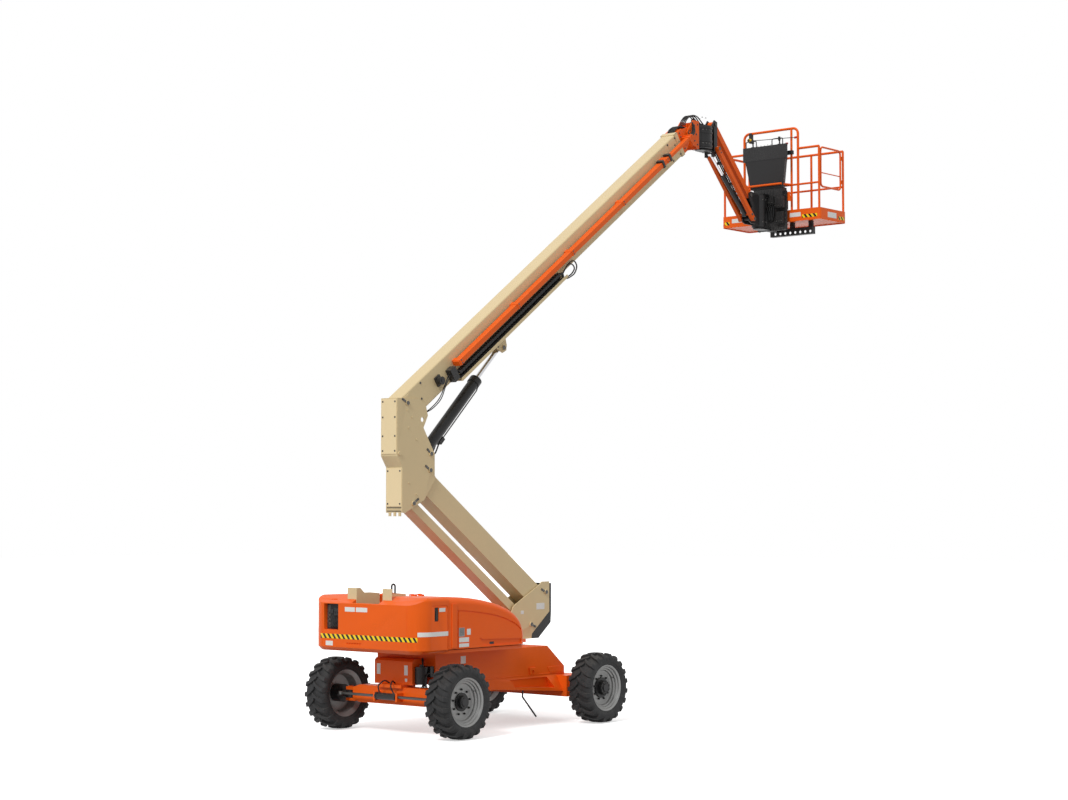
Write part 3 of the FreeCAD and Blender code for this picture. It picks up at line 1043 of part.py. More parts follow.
def make_platform():
    gap = SIDE_GAP
    near = PLATFORM_NEAR_X
    far = PLATFORM_FAR_X
    half = PLATFORM_WIDTH / 2
    mount = [box(near - 110, near - 90, -380, 160, ROTATOR_BOTTOM - 40, ROTATOR_TOP + 70)]
    for z0, z1 in ((ROTATOR_TOP + gap, ROTATOR_TOP + gap + 20), (ROTATOR_BOTTOM - gap - 24, ROTATOR_BOTTOM - gap)):
        mount.append(box(ROTATOR_X, near - 92, -90, 90, z0, z1))
        mount.append(cyl_z(ROTATOR_X, 0, 90, z0, z1))
    mount += [cyl_z(ROTATOR_X, 0, 50, ROTATOR_TOP + SEAT, ROTATOR_TOP + gap + 1),
              cyl_z(ROTATOR_X, 0, 50, ROTATOR_BOTTOM - gap - 1, ROTATOR_BOTTOM - SEAT)]
    mount.append(box(near - 92, near + 260, -60, 60, ROTATOR_BOTTOM - gap - 24, ROTATOR_BOTTOM - gap))
    low = ROTATOR_BOTTOM - gap - 90
    channel = box(near + 180, near + 262, -660, 120, low, low + 112)
    channel = channel.cut(box(near + 186, near + 263, -654, 114, low + 6, low + 106))
    channel = channel.cut([cyl_x(-620 + 92 * i, low + 42, 20, near + 100, near + 300) for i in range(8)])
    spacers = [box(near + 190, near + 250, y, y + 60, low + 110, FLOOR_Z) for y in (-640, -300, 40)]
    save("platform_mount", fuse(mount + [channel] + spacers))

    wall = TOE_BOARD_THICKNESS
    ring = box(near, far, -half, half, PLATFORM_BOTTOM, TOE_TOP)
    ring = round_corners(ring, PLATFORM_CORNER, Vector(0, 0, 1))
    hole = box(near + wall, far - wall, -half + wall, half - wall, PLATFORM_BOTTOM - 1, TOE_TOP + 1)
    hole = round_corners(hole, PLATFORM_CORNER - wall, Vector(0, 0, 1))
    plate = box(near + wall - 1, far - wall + 1, -half + wall - 1, half - wall + 1, FLOOR_Z, FLOOR_TOP)
    plate = round_corners(plate, PLATFORM_CORNER - wall, Vector(0, 0, 1))
    gap_y0, gap_y1 = TOE_GAP
    notch = prism_x([(gap_y1, FLOOR_TOP), (gap_y1, TOE_TOP + 1), (gap_y0 - TOE_GAP_BEVEL, TOE_TOP + 1),
                     (gap_y0, FLOOR_TOP)], near - 1, near + wall + 1)
    posts, legs = rail_posts()
    sockets = [cyl_z(x, y, POST_RADIUS + SEAT, FLOOR_Z - 1, FLOOR_TOP + 1) for x, y in posts]
    sockets += [cyl_z(x, y, HOOP_RADIUS + SEAT, FLOOR_Z - 1, FLOOR_TOP + 1) for x, y in legs]
    save("platform_floor", fuse([ring.cut(hole), plate]).cut([notch] + sockets))

    r = RAIL_RADIUS
    mid_r = MID_RAIL_RADIUS
    rail_z = RAIL_TOP - r
    hoop_z = HOOP_TOP - HOOP_RADIUS
    nx, fx, side_y = rail_lines()
    bars = []
    for x, y in posts:
        bars += pipe([(x, y, FLOOR_Z), (x, y, hoop_z if y == MIDDLE_POST_Y else rail_z)], POST_RADIUS)
    bars += pipe([(nx, side_y, rail_z), (fx, side_y, rail_z)], r)
    bars += pipe([(fx, side_y, rail_z), (fx, -side_y, rail_z)], r)
    bars += pipe([(nx, side_y, MID_RAIL_Z), (fx, side_y, MID_RAIL_Z)], mid_r)
    bars += pipe([(fx, side_y, MID_RAIL_Z), (fx, -side_y, MID_RAIL_Z)], mid_r)
    bars += pipe([(nx, side_y, MID_RAIL_Z), (nx, -side_y, MID_RAIL_Z)], mid_r)
    bars += pipe([(nx, side_y, rail_z), (nx, HOOP_HALF_WIDTH, rail_z)], r)
    bars += pipe([(nx, -HOOP_HALF_WIDTH, rail_z), (nx, -side_y, rail_z)], r)
    bars += pipe([(nx, HOOP_HALF_WIDTH, FLOOR_Z), (nx, HOOP_HALF_WIDTH, hoop_z),
                      (nx, -HOOP_HALF_WIDTH, hoop_z), (nx, -HOOP_HALF_WIDTH, FLOOR_Z)], HOOP_RADIUS,
                 HOOP_BEND)
    sleeve_half = GATE_SLEEVE
    hinge_x = fx - r - 27
    for z in GATE_HINGE_Z:
        for low in (z - sleeve_half - 7, z + sleeve_half + 1):
            bars.append(box(hinge_x - 7, fx, -side_y - 7, -side_y + 7, low, low + 6))
        bars.append(cyl_z(hinge_x, -side_y, GATE_PIN_RADIUS, z - sleeve_half - 5, z + sleeve_half + 5))
    save("platform_rails", fuse(bars))

    body = Part.makeLoft([
        Part.makePolygon([Vector(x, y, CONSOLE_BOTTOM) for x, y in
                          ((near - 180, -360), (near + 4, -270), (near + 4, 240), (near - 180, 240), (near - 180, -360))]),
        Part.makePolygon([Vector(x, y, CONSOLE_SHELF_Z + 2) for x, y in
                          ((near - 196, -410), (near + 4, -320), (near + 4, 330), (near - 196, 330), (near - 196, -410))])],
        True, True)
    head = prism_y([(near - 200, CONSOLE_SHELF_Z), (near + 60, CONSOLE_SHELF_Z), (near + 60, CONSOLE_TOP - 60), (near - 40, CONSOLE_TOP),
                    (near - 200, CONSOLE_TOP)], CONSOLE_RIGHT, 370)
    # The right end slants in from front to back, and a clamp from it holds the middle post.
    slant_y = CONSOLE_RIGHT + CONSOLE_END_SLANT
    away = Part.makePolygon([Vector(x, y, CONSOLE_SHELF_Z - 5) for x, y in
                             ((near - 201, CONSOLE_RIGHT), (near + 61, slant_y), (near + 61, CONSOLE_RIGHT - 5),
                              (near - 201, CONSOLE_RIGHT - 5), (near - 201, CONSOLE_RIGHT))])
    head = head.cut(Part.Face(away).extrude(Vector(0, 0, CONSOLE_TOP - CONSOLE_SHELF_Z + 10)))
    clamp_z = (CONSOLE_SHELF_Z + CONSOLE_TOP) / 2
    clamp = box(nx - 35, nx + 20, MIDDLE_POST_Y - 30, slant_y + 20, clamp_z - 30, clamp_z + 30)
    console = fuse([body, head, clamp])
    console = console.cut(cyl_z(nx, MIDDLE_POST_Y, POST_RADIUS + SEAT, CONSOLE_SHELF_Z - 6, CONSOLE_TOP + 1))
    save("control_console", console)

    g = GATE_TUBE_RADIUS
    gx0, gx1 = nx + r + g + 12, hinge_x - g - 17
    gz0, gz1 = MID_RAIL_Z - 60, rail_z - 10
    middle = (gx0 + gx1) / 2
    halves = []
    for x in (gx0, gx1):
        halves += pipe([(middle, -side_y, gz1), (x, -side_y, gz1), (x, -side_y, gz0), (middle, -side_y, gz0)], g, 60)
    sleeves = [cyl_z(hinge_x, -side_y, 12, z - sleeve_half, z + sleeve_half) for z in GATE_HINGE_Z]
    tabs = [box(gx1 + g - 6, hinge_x - 8, -side_y - 5, -side_y + 5, z - 20, z + 20) for z in GATE_HINGE_Z]
    bores = [cyl_z(hinge_x, -side_y, GATE_PIN_RADIUS + RUN, z - 30, z + 30) for z in GATE_HINGE_Z]
    save("platform_gate", fuse(halves + sleeves + tabs).cut(bores))


os.makedirs("parts", exist_ok=True)
make_wheels()
make_chassis()
make_axles()
make_steering()
make_chassis_fittings()
make_turntable()
make_links()
make_upright()
make_boom()
make_lift_cylinder()
make_head()
make_jib()
make_support()
make_platform()
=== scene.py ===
import json
import math

import bmesh
import bpy
from mathutils import Matrix, Vector


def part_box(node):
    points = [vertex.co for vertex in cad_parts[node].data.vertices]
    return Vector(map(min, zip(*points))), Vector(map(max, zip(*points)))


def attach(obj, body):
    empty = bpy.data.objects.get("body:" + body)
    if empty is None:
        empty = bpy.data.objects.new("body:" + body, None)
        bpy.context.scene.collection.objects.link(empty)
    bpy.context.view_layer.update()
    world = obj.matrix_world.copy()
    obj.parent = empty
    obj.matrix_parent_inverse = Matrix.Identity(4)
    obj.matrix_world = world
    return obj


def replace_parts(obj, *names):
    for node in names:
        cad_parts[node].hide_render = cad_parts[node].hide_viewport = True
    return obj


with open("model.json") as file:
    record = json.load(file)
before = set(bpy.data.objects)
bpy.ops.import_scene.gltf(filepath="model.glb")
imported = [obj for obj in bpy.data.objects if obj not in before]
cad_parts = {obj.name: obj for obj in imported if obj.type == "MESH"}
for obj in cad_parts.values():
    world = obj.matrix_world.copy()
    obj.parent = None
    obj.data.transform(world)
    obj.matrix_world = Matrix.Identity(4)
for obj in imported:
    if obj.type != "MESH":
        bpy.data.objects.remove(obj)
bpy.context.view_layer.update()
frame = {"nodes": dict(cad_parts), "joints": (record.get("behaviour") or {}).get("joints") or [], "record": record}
NODES = frame["nodes"]
JOINTS = {joint["name"]: joint for joint in frame["joints"]}

# The machine's own directions: +X the way the boom reaches, +Y to its left, +Z up, all in metres.
LEFT, RIGHT = 1, -1
REAR = Vector((-1, 0, 0))
BOOM_PIVOT = Vector(JOINTS["boom_lift"]["pos_m"])
BOOM_DIR = Vector(JOINTS["telescope"]["axis"]).normalized()
BOOM_UP = Vector((-BOOM_DIR.z, 0, BOOM_DIR.x))


# ---------------------------------------------------------------- shader effects
def new_group(name, inputs, outputs):
    """An empty shader node group with named sockets; returns (group, its input node, its output node)."""
    group = bpy.data.node_groups.new(name, "ShaderNodeTree")
    for label, kind, default in inputs:
        socket = group.interface.new_socket(name=label, in_out="INPUT", socket_type=kind)
        socket.default_value = default
    for label, kind in outputs:
        group.interface.new_socket(name=label, in_out="OUTPUT", socket_type=kind)
    start = group.nodes.new("NodeGroupInput")
    end = group.nodes.new("NodeGroupOutput")
    start.location = (-900, 0)
    end.location = (600, 0)
    return group, start, end


def mix_colour(tree, kind, factor, first, second):
    """A colour mix node; factor, first and second are sockets or plain values."""
    node = tree.nodes.new("ShaderNodeMix")
    node.data_type = "RGBA"
    node.blend_type = kind
    for index, value in ((0, factor), (6, first), (7, second)):
        if isinstance(value, bpy.types.NodeSocket):
            tree.links.new(value, node.inputs[index])
        else:
            node.inputs[index].default_value = value
    return node.outputs[2]


def maths(tree, kind, first, second=0.0, third=0.0):
    """A number node; each operand is a socket or a plain value."""
    node = tree.nodes.new("ShaderNodeMath")
    node.operation = kind
    for index, value in enumerate((first, second, third)):
        if isinstance(value, bpy.types.NodeSocket):
            tree.links.new(value, node.inputs[index])
        else:
            node.inputs[index].default_value = value
    return node.outputs[0]


def remap(tree, value, low, high, out_low=0.0, out_high=1.0):
    """The value carried from one range into another and held inside it."""
    node = tree.nodes.new("ShaderNodeMapRange")
    tree.links.new(value, node.inputs["Value"])
    node.inputs["From Min"].default_value = low
    node.inputs["From Max"].default_value = high
    node.inputs["To Min"].default_value = out_low
    node.inputs["To Max"].default_value = out_high
    return node.outputs["Result"]


def noise(tree, vector, scale, detail=3.0, roughness=0.55):
    """A cloudy pattern from nought to one."""
    node = tree.nodes.new("ShaderNodeTexNoise")
    tree.links.new(vector, node.inputs["Vector"])
    node.inputs["Scale"].default_value = scale
    node.inputs["Detail"].default_value = detail
    node.inputs["Roughness"].default_value = roughness
    return node.outputs["Fac"]


def place(tree):
    """The place on the piece, in metres, that patterns are laid out by."""
    return tree.nodes.new("ShaderNodeTexCoord").outputs["Object"]


def weathered_finish():
    """Slow tone drift, settled dust on faces that look up, rubbed convex edges and a fine orange-peel height."""
    group, start, end = new_group(
        "weathered finish",
        [("Color", "NodeSocketColor", (0.5, 0.5, 0.5, 1)), ("Edge Color", "NodeSocketColor", (0.6, 0.6, 0.6, 1)),
         ("Drift", "NodeSocketFloat", 0.06), ("Dust", "NodeSocketFloat", 0.1), ("Edge Wear", "NodeSocketFloat", 0.3),
         ("Roughness", "NodeSocketFloat", 0.4), ("Grain Scale", "NodeSocketFloat", 260.0)],
        [("Color", "NodeSocketColor"), ("Roughness", "NodeSocketFloat"), ("Height", "NodeSocketFloat")])
    coordinates = place(group)
    cloud = noise(group, coordinates, 1.7, 4.0)
    blotch = noise(group, coordinates, 9.0, 4.0, 0.65)
    speck = noise(group, coordinates, 55.0, 5.0, 0.7)
    drift = maths(group, "MULTIPLY", maths(group, "SUBTRACT", cloud, 0.5), start.outputs["Drift"])
    drift = maths(group, "MULTIPLY_ADD", maths(group, "SUBTRACT", blotch, 0.5), 0.03, drift)
    tone = group.nodes.new("ShaderNodeHueSaturation")
    group.links.new(start.outputs["Color"], tone.inputs["Color"])
    group.links.new(maths(group, "MULTIPLY_ADD", drift, 2.0, 1.0), tone.inputs["Value"])
    geometry = group.nodes.new("ShaderNodeNewGeometry")
    split = group.nodes.new("ShaderNodeSeparateXYZ")
    group.links.new(geometry.outputs["Normal"], split.inputs[0])
    upward = remap(group, split.outputs["Z"], 0.3, 1.0)
    dust = maths(group, "MULTIPLY", maths(group, "MULTIPLY", upward, remap(group, blotch, 0.35, 0.75)),
                 start.outputs["Dust"])
    dusty = mix_colour(group, "MIX", dust, tone.outputs["Color"], (0.42, 0.37, 0.30, 1))
    convex = remap(group, geometry.outputs["Pointiness"], 0.54, 0.62)
    rub = maths(group, "MULTIPLY", convex, remap(group, speck, 0.42, 0.66))
    rub = maths(group, "MULTIPLY", rub, start.outputs["Edge Wear"])
    worn = mix_colour(group, "MIX", rub, dusty, start.outputs["Edge Color"])
    group.links.new(worn, end.inputs["Color"])
    rough = maths(group, "MULTIPLY_ADD", maths(group, "SUBTRACT", blotch, 0.5), 0.16, start.outputs["Roughness"])
    rough = maths(group, "MULTIPLY_ADD", dust, 0.5, rough)
    group.links.new(maths(group, "MAXIMUM", rough, 0.05), end.inputs["Roughness"])
    grain = group.nodes.new("ShaderNodeTexNoise")
    group.links.new(coordinates, grain.inputs["Vector"])
    group.links.new(start.outputs["Grain Scale"], grain.inputs["Scale"])
    grain.inputs["Detail"].default_value = 2.0
    group.links.new(grain.outputs["Fac"], end.inputs["Height"])
    return group


FINISH = weathered_finish()


def shader(name):
    """A new material; returns (material, its node tree, its Principled BSDF)."""
    material = bpy.data.materials.new(name)
    material.use_nodes = True
    tree = material.node_tree
    return material, tree, tree.nodes["Principled BSDF"]


def srgb(red, green, blue):
    """The linear colour of a painted surface given on the usual 0 to 255 scale."""
    def linear(value):
        value /= 255.0
        return value / 12.92 if value <= 0.04045 else ((value + 0.055) / 1.055) ** 2.4
    return (linear(red), linear(green), linear(blue), 1.0)


def weathered(name, colour, edge, roughness, metallic=0.0, drift=0.06, dust=0.1, wear=0.3, grain=260.0, bump=0.02,
              shine=0.3):
    """A material with the shared weathered finish; returns (material, tree, principled, colour socket)."""
    material, tree, principled = shader(name)
    finish = tree.nodes.new("ShaderNodeGroup")
    finish.node_tree = FINISH
    finish.inputs["Color"].default_value = colour
    finish.inputs["Edge Color"].default_value = edge
    finish.inputs["Drift"].default_value = drift
    finish.inputs["Dust"].default_value = dust
    finish.inputs["Edge Wear"].default_value = wear
    finish.inputs["Roughness"].default_value = roughness
    finish.inputs["Grain Scale"].default_value = grain
    tree.links.new(finish.outputs["Color"], principled.inputs["Base Color"])
    tree.links.new(finish.outputs["Roughness"], principled.inputs["Roughness"])
    raised = tree.nodes.new("ShaderNodeBump")
    raised.inputs["Strength"].default_value = bump
    raised.inputs["Distance"].default_value = 0.002
    tree.links.new(finish.outputs["Height"], raised.inputs["Height"])
    tree.links.new(raised.outputs["Normal"], principled.inputs["Normal"])
    principled.inputs["Metallic"].default_value = metallic
    principled.inputs["Specular IOR Level"].default_value = shine
    return material, tree, principled, finish


ORANGE = srgb(236, 97, 22)
CREAM = srgb(214, 193, 150)
BLACK = srgb(30, 30, 31)


def make_materials():
    """Every finish of the machine, by name."""
    made = {}

    def add(key, *values, **named):
        made[key] = weathered(key.replace("_", " "), *values, **named)[0]

    add("orange_paint", ORANGE, srgb(160, 74, 30), 0.38, drift=0.05, dust=0.05, wear=0.12, shine=0.16)
    add("orange_cover", srgb(239, 96, 22), srgb(240, 126, 60), 0.36, drift=0.04, dust=0.03, wear=0.08, shine=0.14)
    add("cream_paint", CREAM, srgb(150, 140, 118), 0.44, drift=0.05, dust=0.10, wear=0.2)
    add("cream_cover", srgb(232, 210, 166), srgb(245, 232, 205), 0.45, drift=0.03, dust=0.08, wear=0.2)
    add("black_paint", BLACK, srgb(105, 103, 100), 0.42, drift=0.2, dust=0.18, wear=0.5)
    add("black_plastic", srgb(36, 36, 37), srgb(80, 80, 80), 0.6, drift=0.2, dust=0.2, wear=0.3, grain=600, bump=0.1)
    add("hose_rubber", srgb(26, 26, 27), srgb(60, 60, 60), 0.55, drift=0.3, dust=0.15, wear=0.2, grain=900, bump=0.08)
    add("rim_silver", srgb(142, 142, 141), srgb(180, 180, 179), 0.42, 0.4, drift=0.1, dust=0.2, wear=0.3)
    add("bare_steel", srgb(150, 149, 146), srgb(210, 210, 208), 0.38, 0.9, drift=0.2, dust=0.2, wear=0.5)
    add("dark_steel", srgb(88, 87, 85), srgb(160, 158, 155), 0.45, 0.8, drift=0.25, dust=0.2, wear=0.5)
    add("rod_chrome", srgb(205, 205, 207), srgb(235, 235, 235), 0.14, 1.0, drift=0.05, dust=0.02, wear=0.1,
        bump=0.004)
    add("label_white", srgb(226, 226, 222), srgb(190, 190, 186), 0.4, drift=0.04, dust=0.1, wear=0.2)
    add("label_yellow", srgb(240, 196, 30), srgb(200, 170, 60), 0.4, drift=0.04, dust=0.1, wear=0.2)
    add("knob_red", srgb(190, 28, 22), srgb(220, 90, 80), 0.35, drift=0.04, dust=0.05, wear=0.1)
    made["tyre_rubber"] = tyre_material()
    made["hazard_stripe"] = hazard_material()
    return made


def tyre_material():
    """Dark rubber, greyer where dirt has worked into the tread and the side wall."""
    material, tree, principled, finish = weathered(
        "tyre rubber", srgb(44, 44, 45), srgb(88, 88, 88), 0.72, drift=0.35, dust=0.10, wear=0.5, grain=420,
        bump=0.35)
    coordinates = place(tree)
    mud = remap(tree, noise(tree, coordinates, 14.0, 6.0, 0.7), 0.48, 0.75)
    amount = maths(tree, "MULTIPLY", mud, 0.25)
    colour = mix_colour(tree, "MIX", amount, finish.outputs["Color"], (0.10, 0.099, 0.096, 1))
    tree.links.new(colour, principled.inputs["Base Color"])
    return material


STRIPE_PITCH = 0.081
STRIPE_SLANT = 0.75


def hazard_material():
    """Slanted black and yellow bars, laid out by where the surface stands."""
    material, tree, principled, finish = weathered(
        "hazard stripe", srgb(252, 214, 28), srgb(200, 170, 60), 0.35, drift=0.04, dust=0.08, wear=0.15)
    split = tree.nodes.new("ShaderNodeSeparateXYZ")
    tree.links.new(place(tree), split.inputs[0])
    across = maths(tree, "ADD", split.outputs["X"], maths(tree, "MULTIPLY", split.outputs["Y"], -1.0))
    slanted = maths(tree, "MULTIPLY_ADD", split.outputs["Z"], STRIPE_SLANT, across)
    turns = maths(tree, "FRACT", maths(tree, "DIVIDE", slanted, STRIPE_PITCH))
    black = maths(tree, "GREATER_THAN", turns, 0.5)
    colour = mix_colour(tree, "MIX", black, finish.outputs["Color"], srgb(24, 24, 24))
    tree.links.new(colour, principled.inputs["Base Color"])
    return material


MATERIALS = make_materials()


# ---------------------------------------------------------------- making pieces
# Widths of softened edges, from none on labels and hoses to those of plates and covers.
SHARP, HAIR_EDGE, TINY_EDGE, FINE_EDGE, SOFT_EDGE, ROUND_EDGE = 0.0, 0.0005, 0.0008, 0.001, 0.002, 0.003


def finished(name, mesh, material, body, smooth=40.0, bevel=0.0, segments=2):
    """An object of the mesh, in its material, riding on its body."""
    piece = bpy.data.objects.new(name, mesh)
    bpy.context.scene.collection.objects.link(piece)
    mesh.materials.clear()
    mesh.materials.append(MATERIALS[material])
    mesh.polygons.foreach_set("use_smooth", [True] * len(mesh.polygons))
    mesh.set_sharp_from_angle(angle=math.radians(smooth))
    if bevel:
        edge = piece.modifiers.new("soft edges", "BEVEL")
        edge.width = bevel
        edge.segments = segments
        edge.limit_method = "ANGLE"
        edge.angle_limit = math.radians(30)
        edge.harden_normals = True
    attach(piece, body)
    return piece


def body_of(node):
    """The moving body that the node belongs to."""
    return next(body for body, members in frame["record"]["behaviour"]["bodies"].items() if node in members)


def mesh_from(work, name):
    """The worked form as a mesh; the working form is let go."""
    mesh = bpy.data.meshes.new(name)
    work.to_mesh(mesh)
    work.free()
    return mesh


def welded_copy(node):
    """The node's mesh as flat faces: doubled corners joined and level triangles merged."""
    work = bmesh.new()
    work.from_mesh(NODES[node].data)
    bmesh.ops.remove_doubles(work, verts=work.verts, dist=0.00002)
    bmesh.ops.dissolve_limit(work, angle_limit=math.radians(1.0), verts=work.verts, edges=work.edges,
                             delimit={"NORMAL"})
    return work


def dressed(node, material):
    """The node again with softened edges, standing for the plain one."""
    mesh = mesh_from(welded_copy(node), node + "_dressed")
    piece = finished(node + "_dressed", mesh, material, body_of(node), 35.0, ROUND_EDGE)
    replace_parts(piece, node)
    return piece


def repaint(node, material):
    """Gives a carried-over node its material."""
    piece = NODES[node]
    piece.data.materials.clear()
    piece.data.materials.append(MATERIALS[material])


# ---------------------------------------------------------------- gathering small pieces
# The faces of an eight-cornered block: corners listed direction by direction, and as two rings of four.
CORNER_FACES = [(0, 1, 3, 2), (4, 5, 7, 6), (0, 1, 5, 4), (2, 3, 7, 6), (0, 2, 6, 4), (1, 3, 7, 5)]
RING_FACES = [(0, 1, 2, 3), (4, 5, 6, 7), (0, 1, 5, 4), (1, 2, 6, 5), (2, 3, 7, 6), (3, 0, 4, 7)]


def around(count, offset=0.0):
    """Evenly spaced turns round a circle; offset is a part of one step."""
    return [2 * math.pi * (index + offset) / count for index in range(count)]


def join_rings(work, rings, endless=False):
    """Faces from each ring of corners to the next; a skin that isn't endless gets its two ends closed."""
    for first, second in zip(rings, rings[1:] + (rings[:1] if endless else [])):
        for corner in range(len(first)):
            after = (corner + 1) % len(first)
            work.faces.new([first[corner], first[after], second[after], second[corner]])
    if not endless:
        work.faces.new(rings[0][::-1])
        work.faces.new(rings[-1])


def turned_to(direction):
    """The rotation that turns +Z to the direction."""
    return Vector(direction).normalized().to_track_quat("Z", "Y").to_matrix().to_4x4()


def smooth_route(points, steps=6):
    """Points along one soft curve through the given ones."""
    points = [Vector(point) for point in points]
    ends = [points[0] * 2 - points[1]] + points + [points[-1] * 2 - points[-2]]
    curve = []
    for a, b, c, d in zip(ends, ends[1:], ends[2:], ends[3:]):
        for step in range(steps):
            t = step / steps
            curve.append(0.5 * ((2 * b) + (c - a) * t + (2 * a - 5 * b + 4 * c - d) * t * t
                                + (3 * b - a - 3 * c + d) * t ** 3))
    curve.append(points[-1])
    return curve


class Batch:
    """Small pieces of one finish on one body, gathered into a single mesh."""

    def __init__(self, name, body, material):
        self.name, self.body, self.material = name, body, material
        self.work = bmesh.new()

    def add(self, corners, faces):
        verts = [self.work.verts.new(corner) for corner in corners]
        for face in faces:
            self.work.faces.new([verts[index] for index in face])

    def box(self, low, high, turn=None):
        """A block between two corners; turn is a matrix about its own middle."""
        low, high = Vector(low), Vector(high)
        middle = (low + high) / 2
        half = (high - low) / 2
        matrix = Matrix.Translation(middle) @ (turn.to_4x4() if turn else Matrix.Identity(4))
        matrix = matrix @ Matrix.Diagonal((half.x * 2, half.y * 2, half.z * 2, 1))
        bmesh.ops.create_cube(self.work, size=1.0, matrix=matrix)

    def laid_box(self, place, along, above, across):
        """A block whose corners a member's own place function sets, from three pairs of limits."""
        self.add([place(s, n, y) for s in along for n in above for y in across], CORNER_FACES)

    def side_box(self, side, along, inner, outer, height):
        """A block on the left or right, from inner to outer metres off the machine's middle plane."""
        low, high = sorted((side * inner, side * outer))
        self.box((along[0], low, height[0]), (along[1], high, height[1]))

    def side_plate(self, side, outline, inner, outer):
        """An outline of (x, z) places on the left or right, from inner to outer metres off the middle plane."""
        low, high = sorted((side * inner, side * outer))
        self.plate(outline, (0, high, 0), (1, 0, 0), (0, 0, 1), high - low)

    def rod(self, start, end, radius, tip=None, sides=16):
        """A round bar or cone from start to end."""
        start, end = Vector(start), Vector(end)
        matrix = Matrix.Translation((start + end) / 2) @ turned_to(end - start)
        bmesh.ops.create_cone(self.work, cap_ends=True, segments=sides, radius1=radius,
                              radius2=radius if tip is None else tip, depth=(end - start).length, matrix=matrix)

    def bolt(self, at, direction, size=0.022, height=0.014):
        """A washer and a hexagon head that stand off a face."""
        at, direction = Vector(at), Vector(direction).normalized()
        self.rod(at, at + direction * height * 0.25, size * 0.78, sides=18)
        self.rod(at + direction * height * 0.2, at + direction * height, size * 0.58, size * 0.54, sides=6)

    def tube(self, points, radius, sides=8, smooth=True, steps=6):
        """A round hose or bent bar along the points."""
        line = smooth_route(points, steps) if smooth else [Vector(point) for point in points]
        rings = []
        up = Vector((0, 0, 1))
        for index, point in enumerate(line):
            ahead = (line[min(index + 1, len(line) - 1)] - line[max(index - 1, 0)]).normalized()
            across = ahead.cross(up)
            if across.length < 0.05:
                across = ahead.cross(Vector((0, 1, 0)))
            across.normalize()
            up = across.cross(ahead).normalized()
            rings.append([self.work.verts.new(point + (across * math.cos(turn) + up * math.sin(turn)) * radius)
                          for turn in around(sides)])
        join_rings(self.work, rings)

    def plate(self, outline, origin, along, up, depth):
        """A flat outline of (along, up) places, as thick as depth along their cross product."""
        origin, along, up = Vector(origin), Vector(along).normalized(), Vector(up).normalized()
        out = along.cross(up).normalized() * depth
        front = [self.work.verts.new(origin + along * a + up * b + out) for a, b in outline]
        back = [self.work.verts.new(origin + along * a + up * b) for a, b in outline]
        self.work.faces.new(front)
        self.work.faces.new(back[::-1])
        for index in range(len(outline)):
            after = (index + 1) % len(outline)
            self.work.faces.new([front[index], back[index], back[after], front[after]])

    def done(self, bevel=0.0015, smooth=40.0, segments=2):
        bmesh.ops.recalc_face_normals(self.work, faces=self.work.faces)
        mesh = mesh_from(self.work, self.name)
        return finished(self.name, mesh, self.material, self.body, smooth, bevel, segments)


def revolved(work, profile, centre, side, segments):
    """Turns (radius, outward place) points round the wheel's axle."""
    join_rings(work, [[work.verts.new((centre[0] + radius * math.cos(turn), centre[1] + side * out,
                                       centre[2] + radius * math.sin(turn))) for turn in around(segments)]
                      for radius, out in profile], endless=True)


# ---------------------------------------------------------------- wheels
TYRE_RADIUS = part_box("tyre_steer_left")[1].z / 2
TYRE_HALF = 0.178
TREAD_RADIUS = TYRE_RADIUS - 0.034
LUGS_A_SIDE = 20
# Radius and place across, from the inner bead round the tread to the outer bead.
TYRE_HALF_PROFILE = [(0.293, 0.132), (0.300, 0.150), (0.322, 0.162), (0.327, 0.158), (0.333, 0.164), (0.352, 0.170),
                     (0.372, 0.171), (0.394, 0.165), (0.410, 0.150), (0.419, 0.124), (TREAD_RADIUS, 0.085),
                     (TREAD_RADIUS + 0.002, 0.0)]


# Along one tread bar: (radius of its foot, place across, slant, outward lean, half width, height).
LUG_STATIONS = [
    (TREAD_RADIUS - 0.004, -0.012, 0.078, 0.00, 0.014, 0.036),
    (TREAD_RADIUS - 0.004, 0.030, 0.046, 0.02, 0.019, 0.036),
    (TREAD_RADIUS - 0.005, 0.070, 0.020, 0.06, 0.021, 0.036),
    (TREAD_RADIUS - 0.008, 0.108, 0.004, 0.16, 0.023, 0.035),
    (0.414, 0.138, -0.004, 0.42, 0.025, 0.033), (0.402, 0.154, -0.006, 0.85, 0.026, 0.021),
    (0.385, 0.163, -0.006, 1.25, 0.023, 0.013), (0.362, 0.166, -0.005, 1.50, 0.017, 0.009)]


def tyre_mesh(centre):
    """The tyre's carcass turned about its axle, with the two rows of slanted tread bars on it."""
    work = bmesh.new()
    profile = [(r, -a) for r, a in TYRE_HALF_PROFILE] + [(r, a) for r, a in reversed(TYRE_HALF_PROFILE[:-1])]
    revolved(work, profile, centre, 1, 96)
    step = 2 * math.pi / LUGS_A_SIDE
    for side in (1, -1):
        for index in range(LUGS_A_SIDE):
            turn = step * (index + (0.0 if side > 0 else 0.5))
            sections = []
            for foot, across, slant, lean, half, height in LUG_STATIONS:
                section = []
                for wide, high in ((-half * 1.25, 0.0), (half * 1.25, 0.0), (half, height), (-half, height)):
                    radius = min(foot + high * math.cos(lean), TYRE_RADIUS)
                    out = min(across + high * math.sin(lean), TYRE_HALF)
                    angle = turn + (wide - slant) / foot
                    section.append(work.verts.new((centre[0] + radius * math.cos(angle), centre[1] + side * out,
                                                   centre[2] + radius * math.sin(angle))))
                sections.append(section)
            join_rings(work, sections)
    bmesh.ops.recalc_face_normals(work, faces=work.faces)
    return mesh_from(work, "tyre")


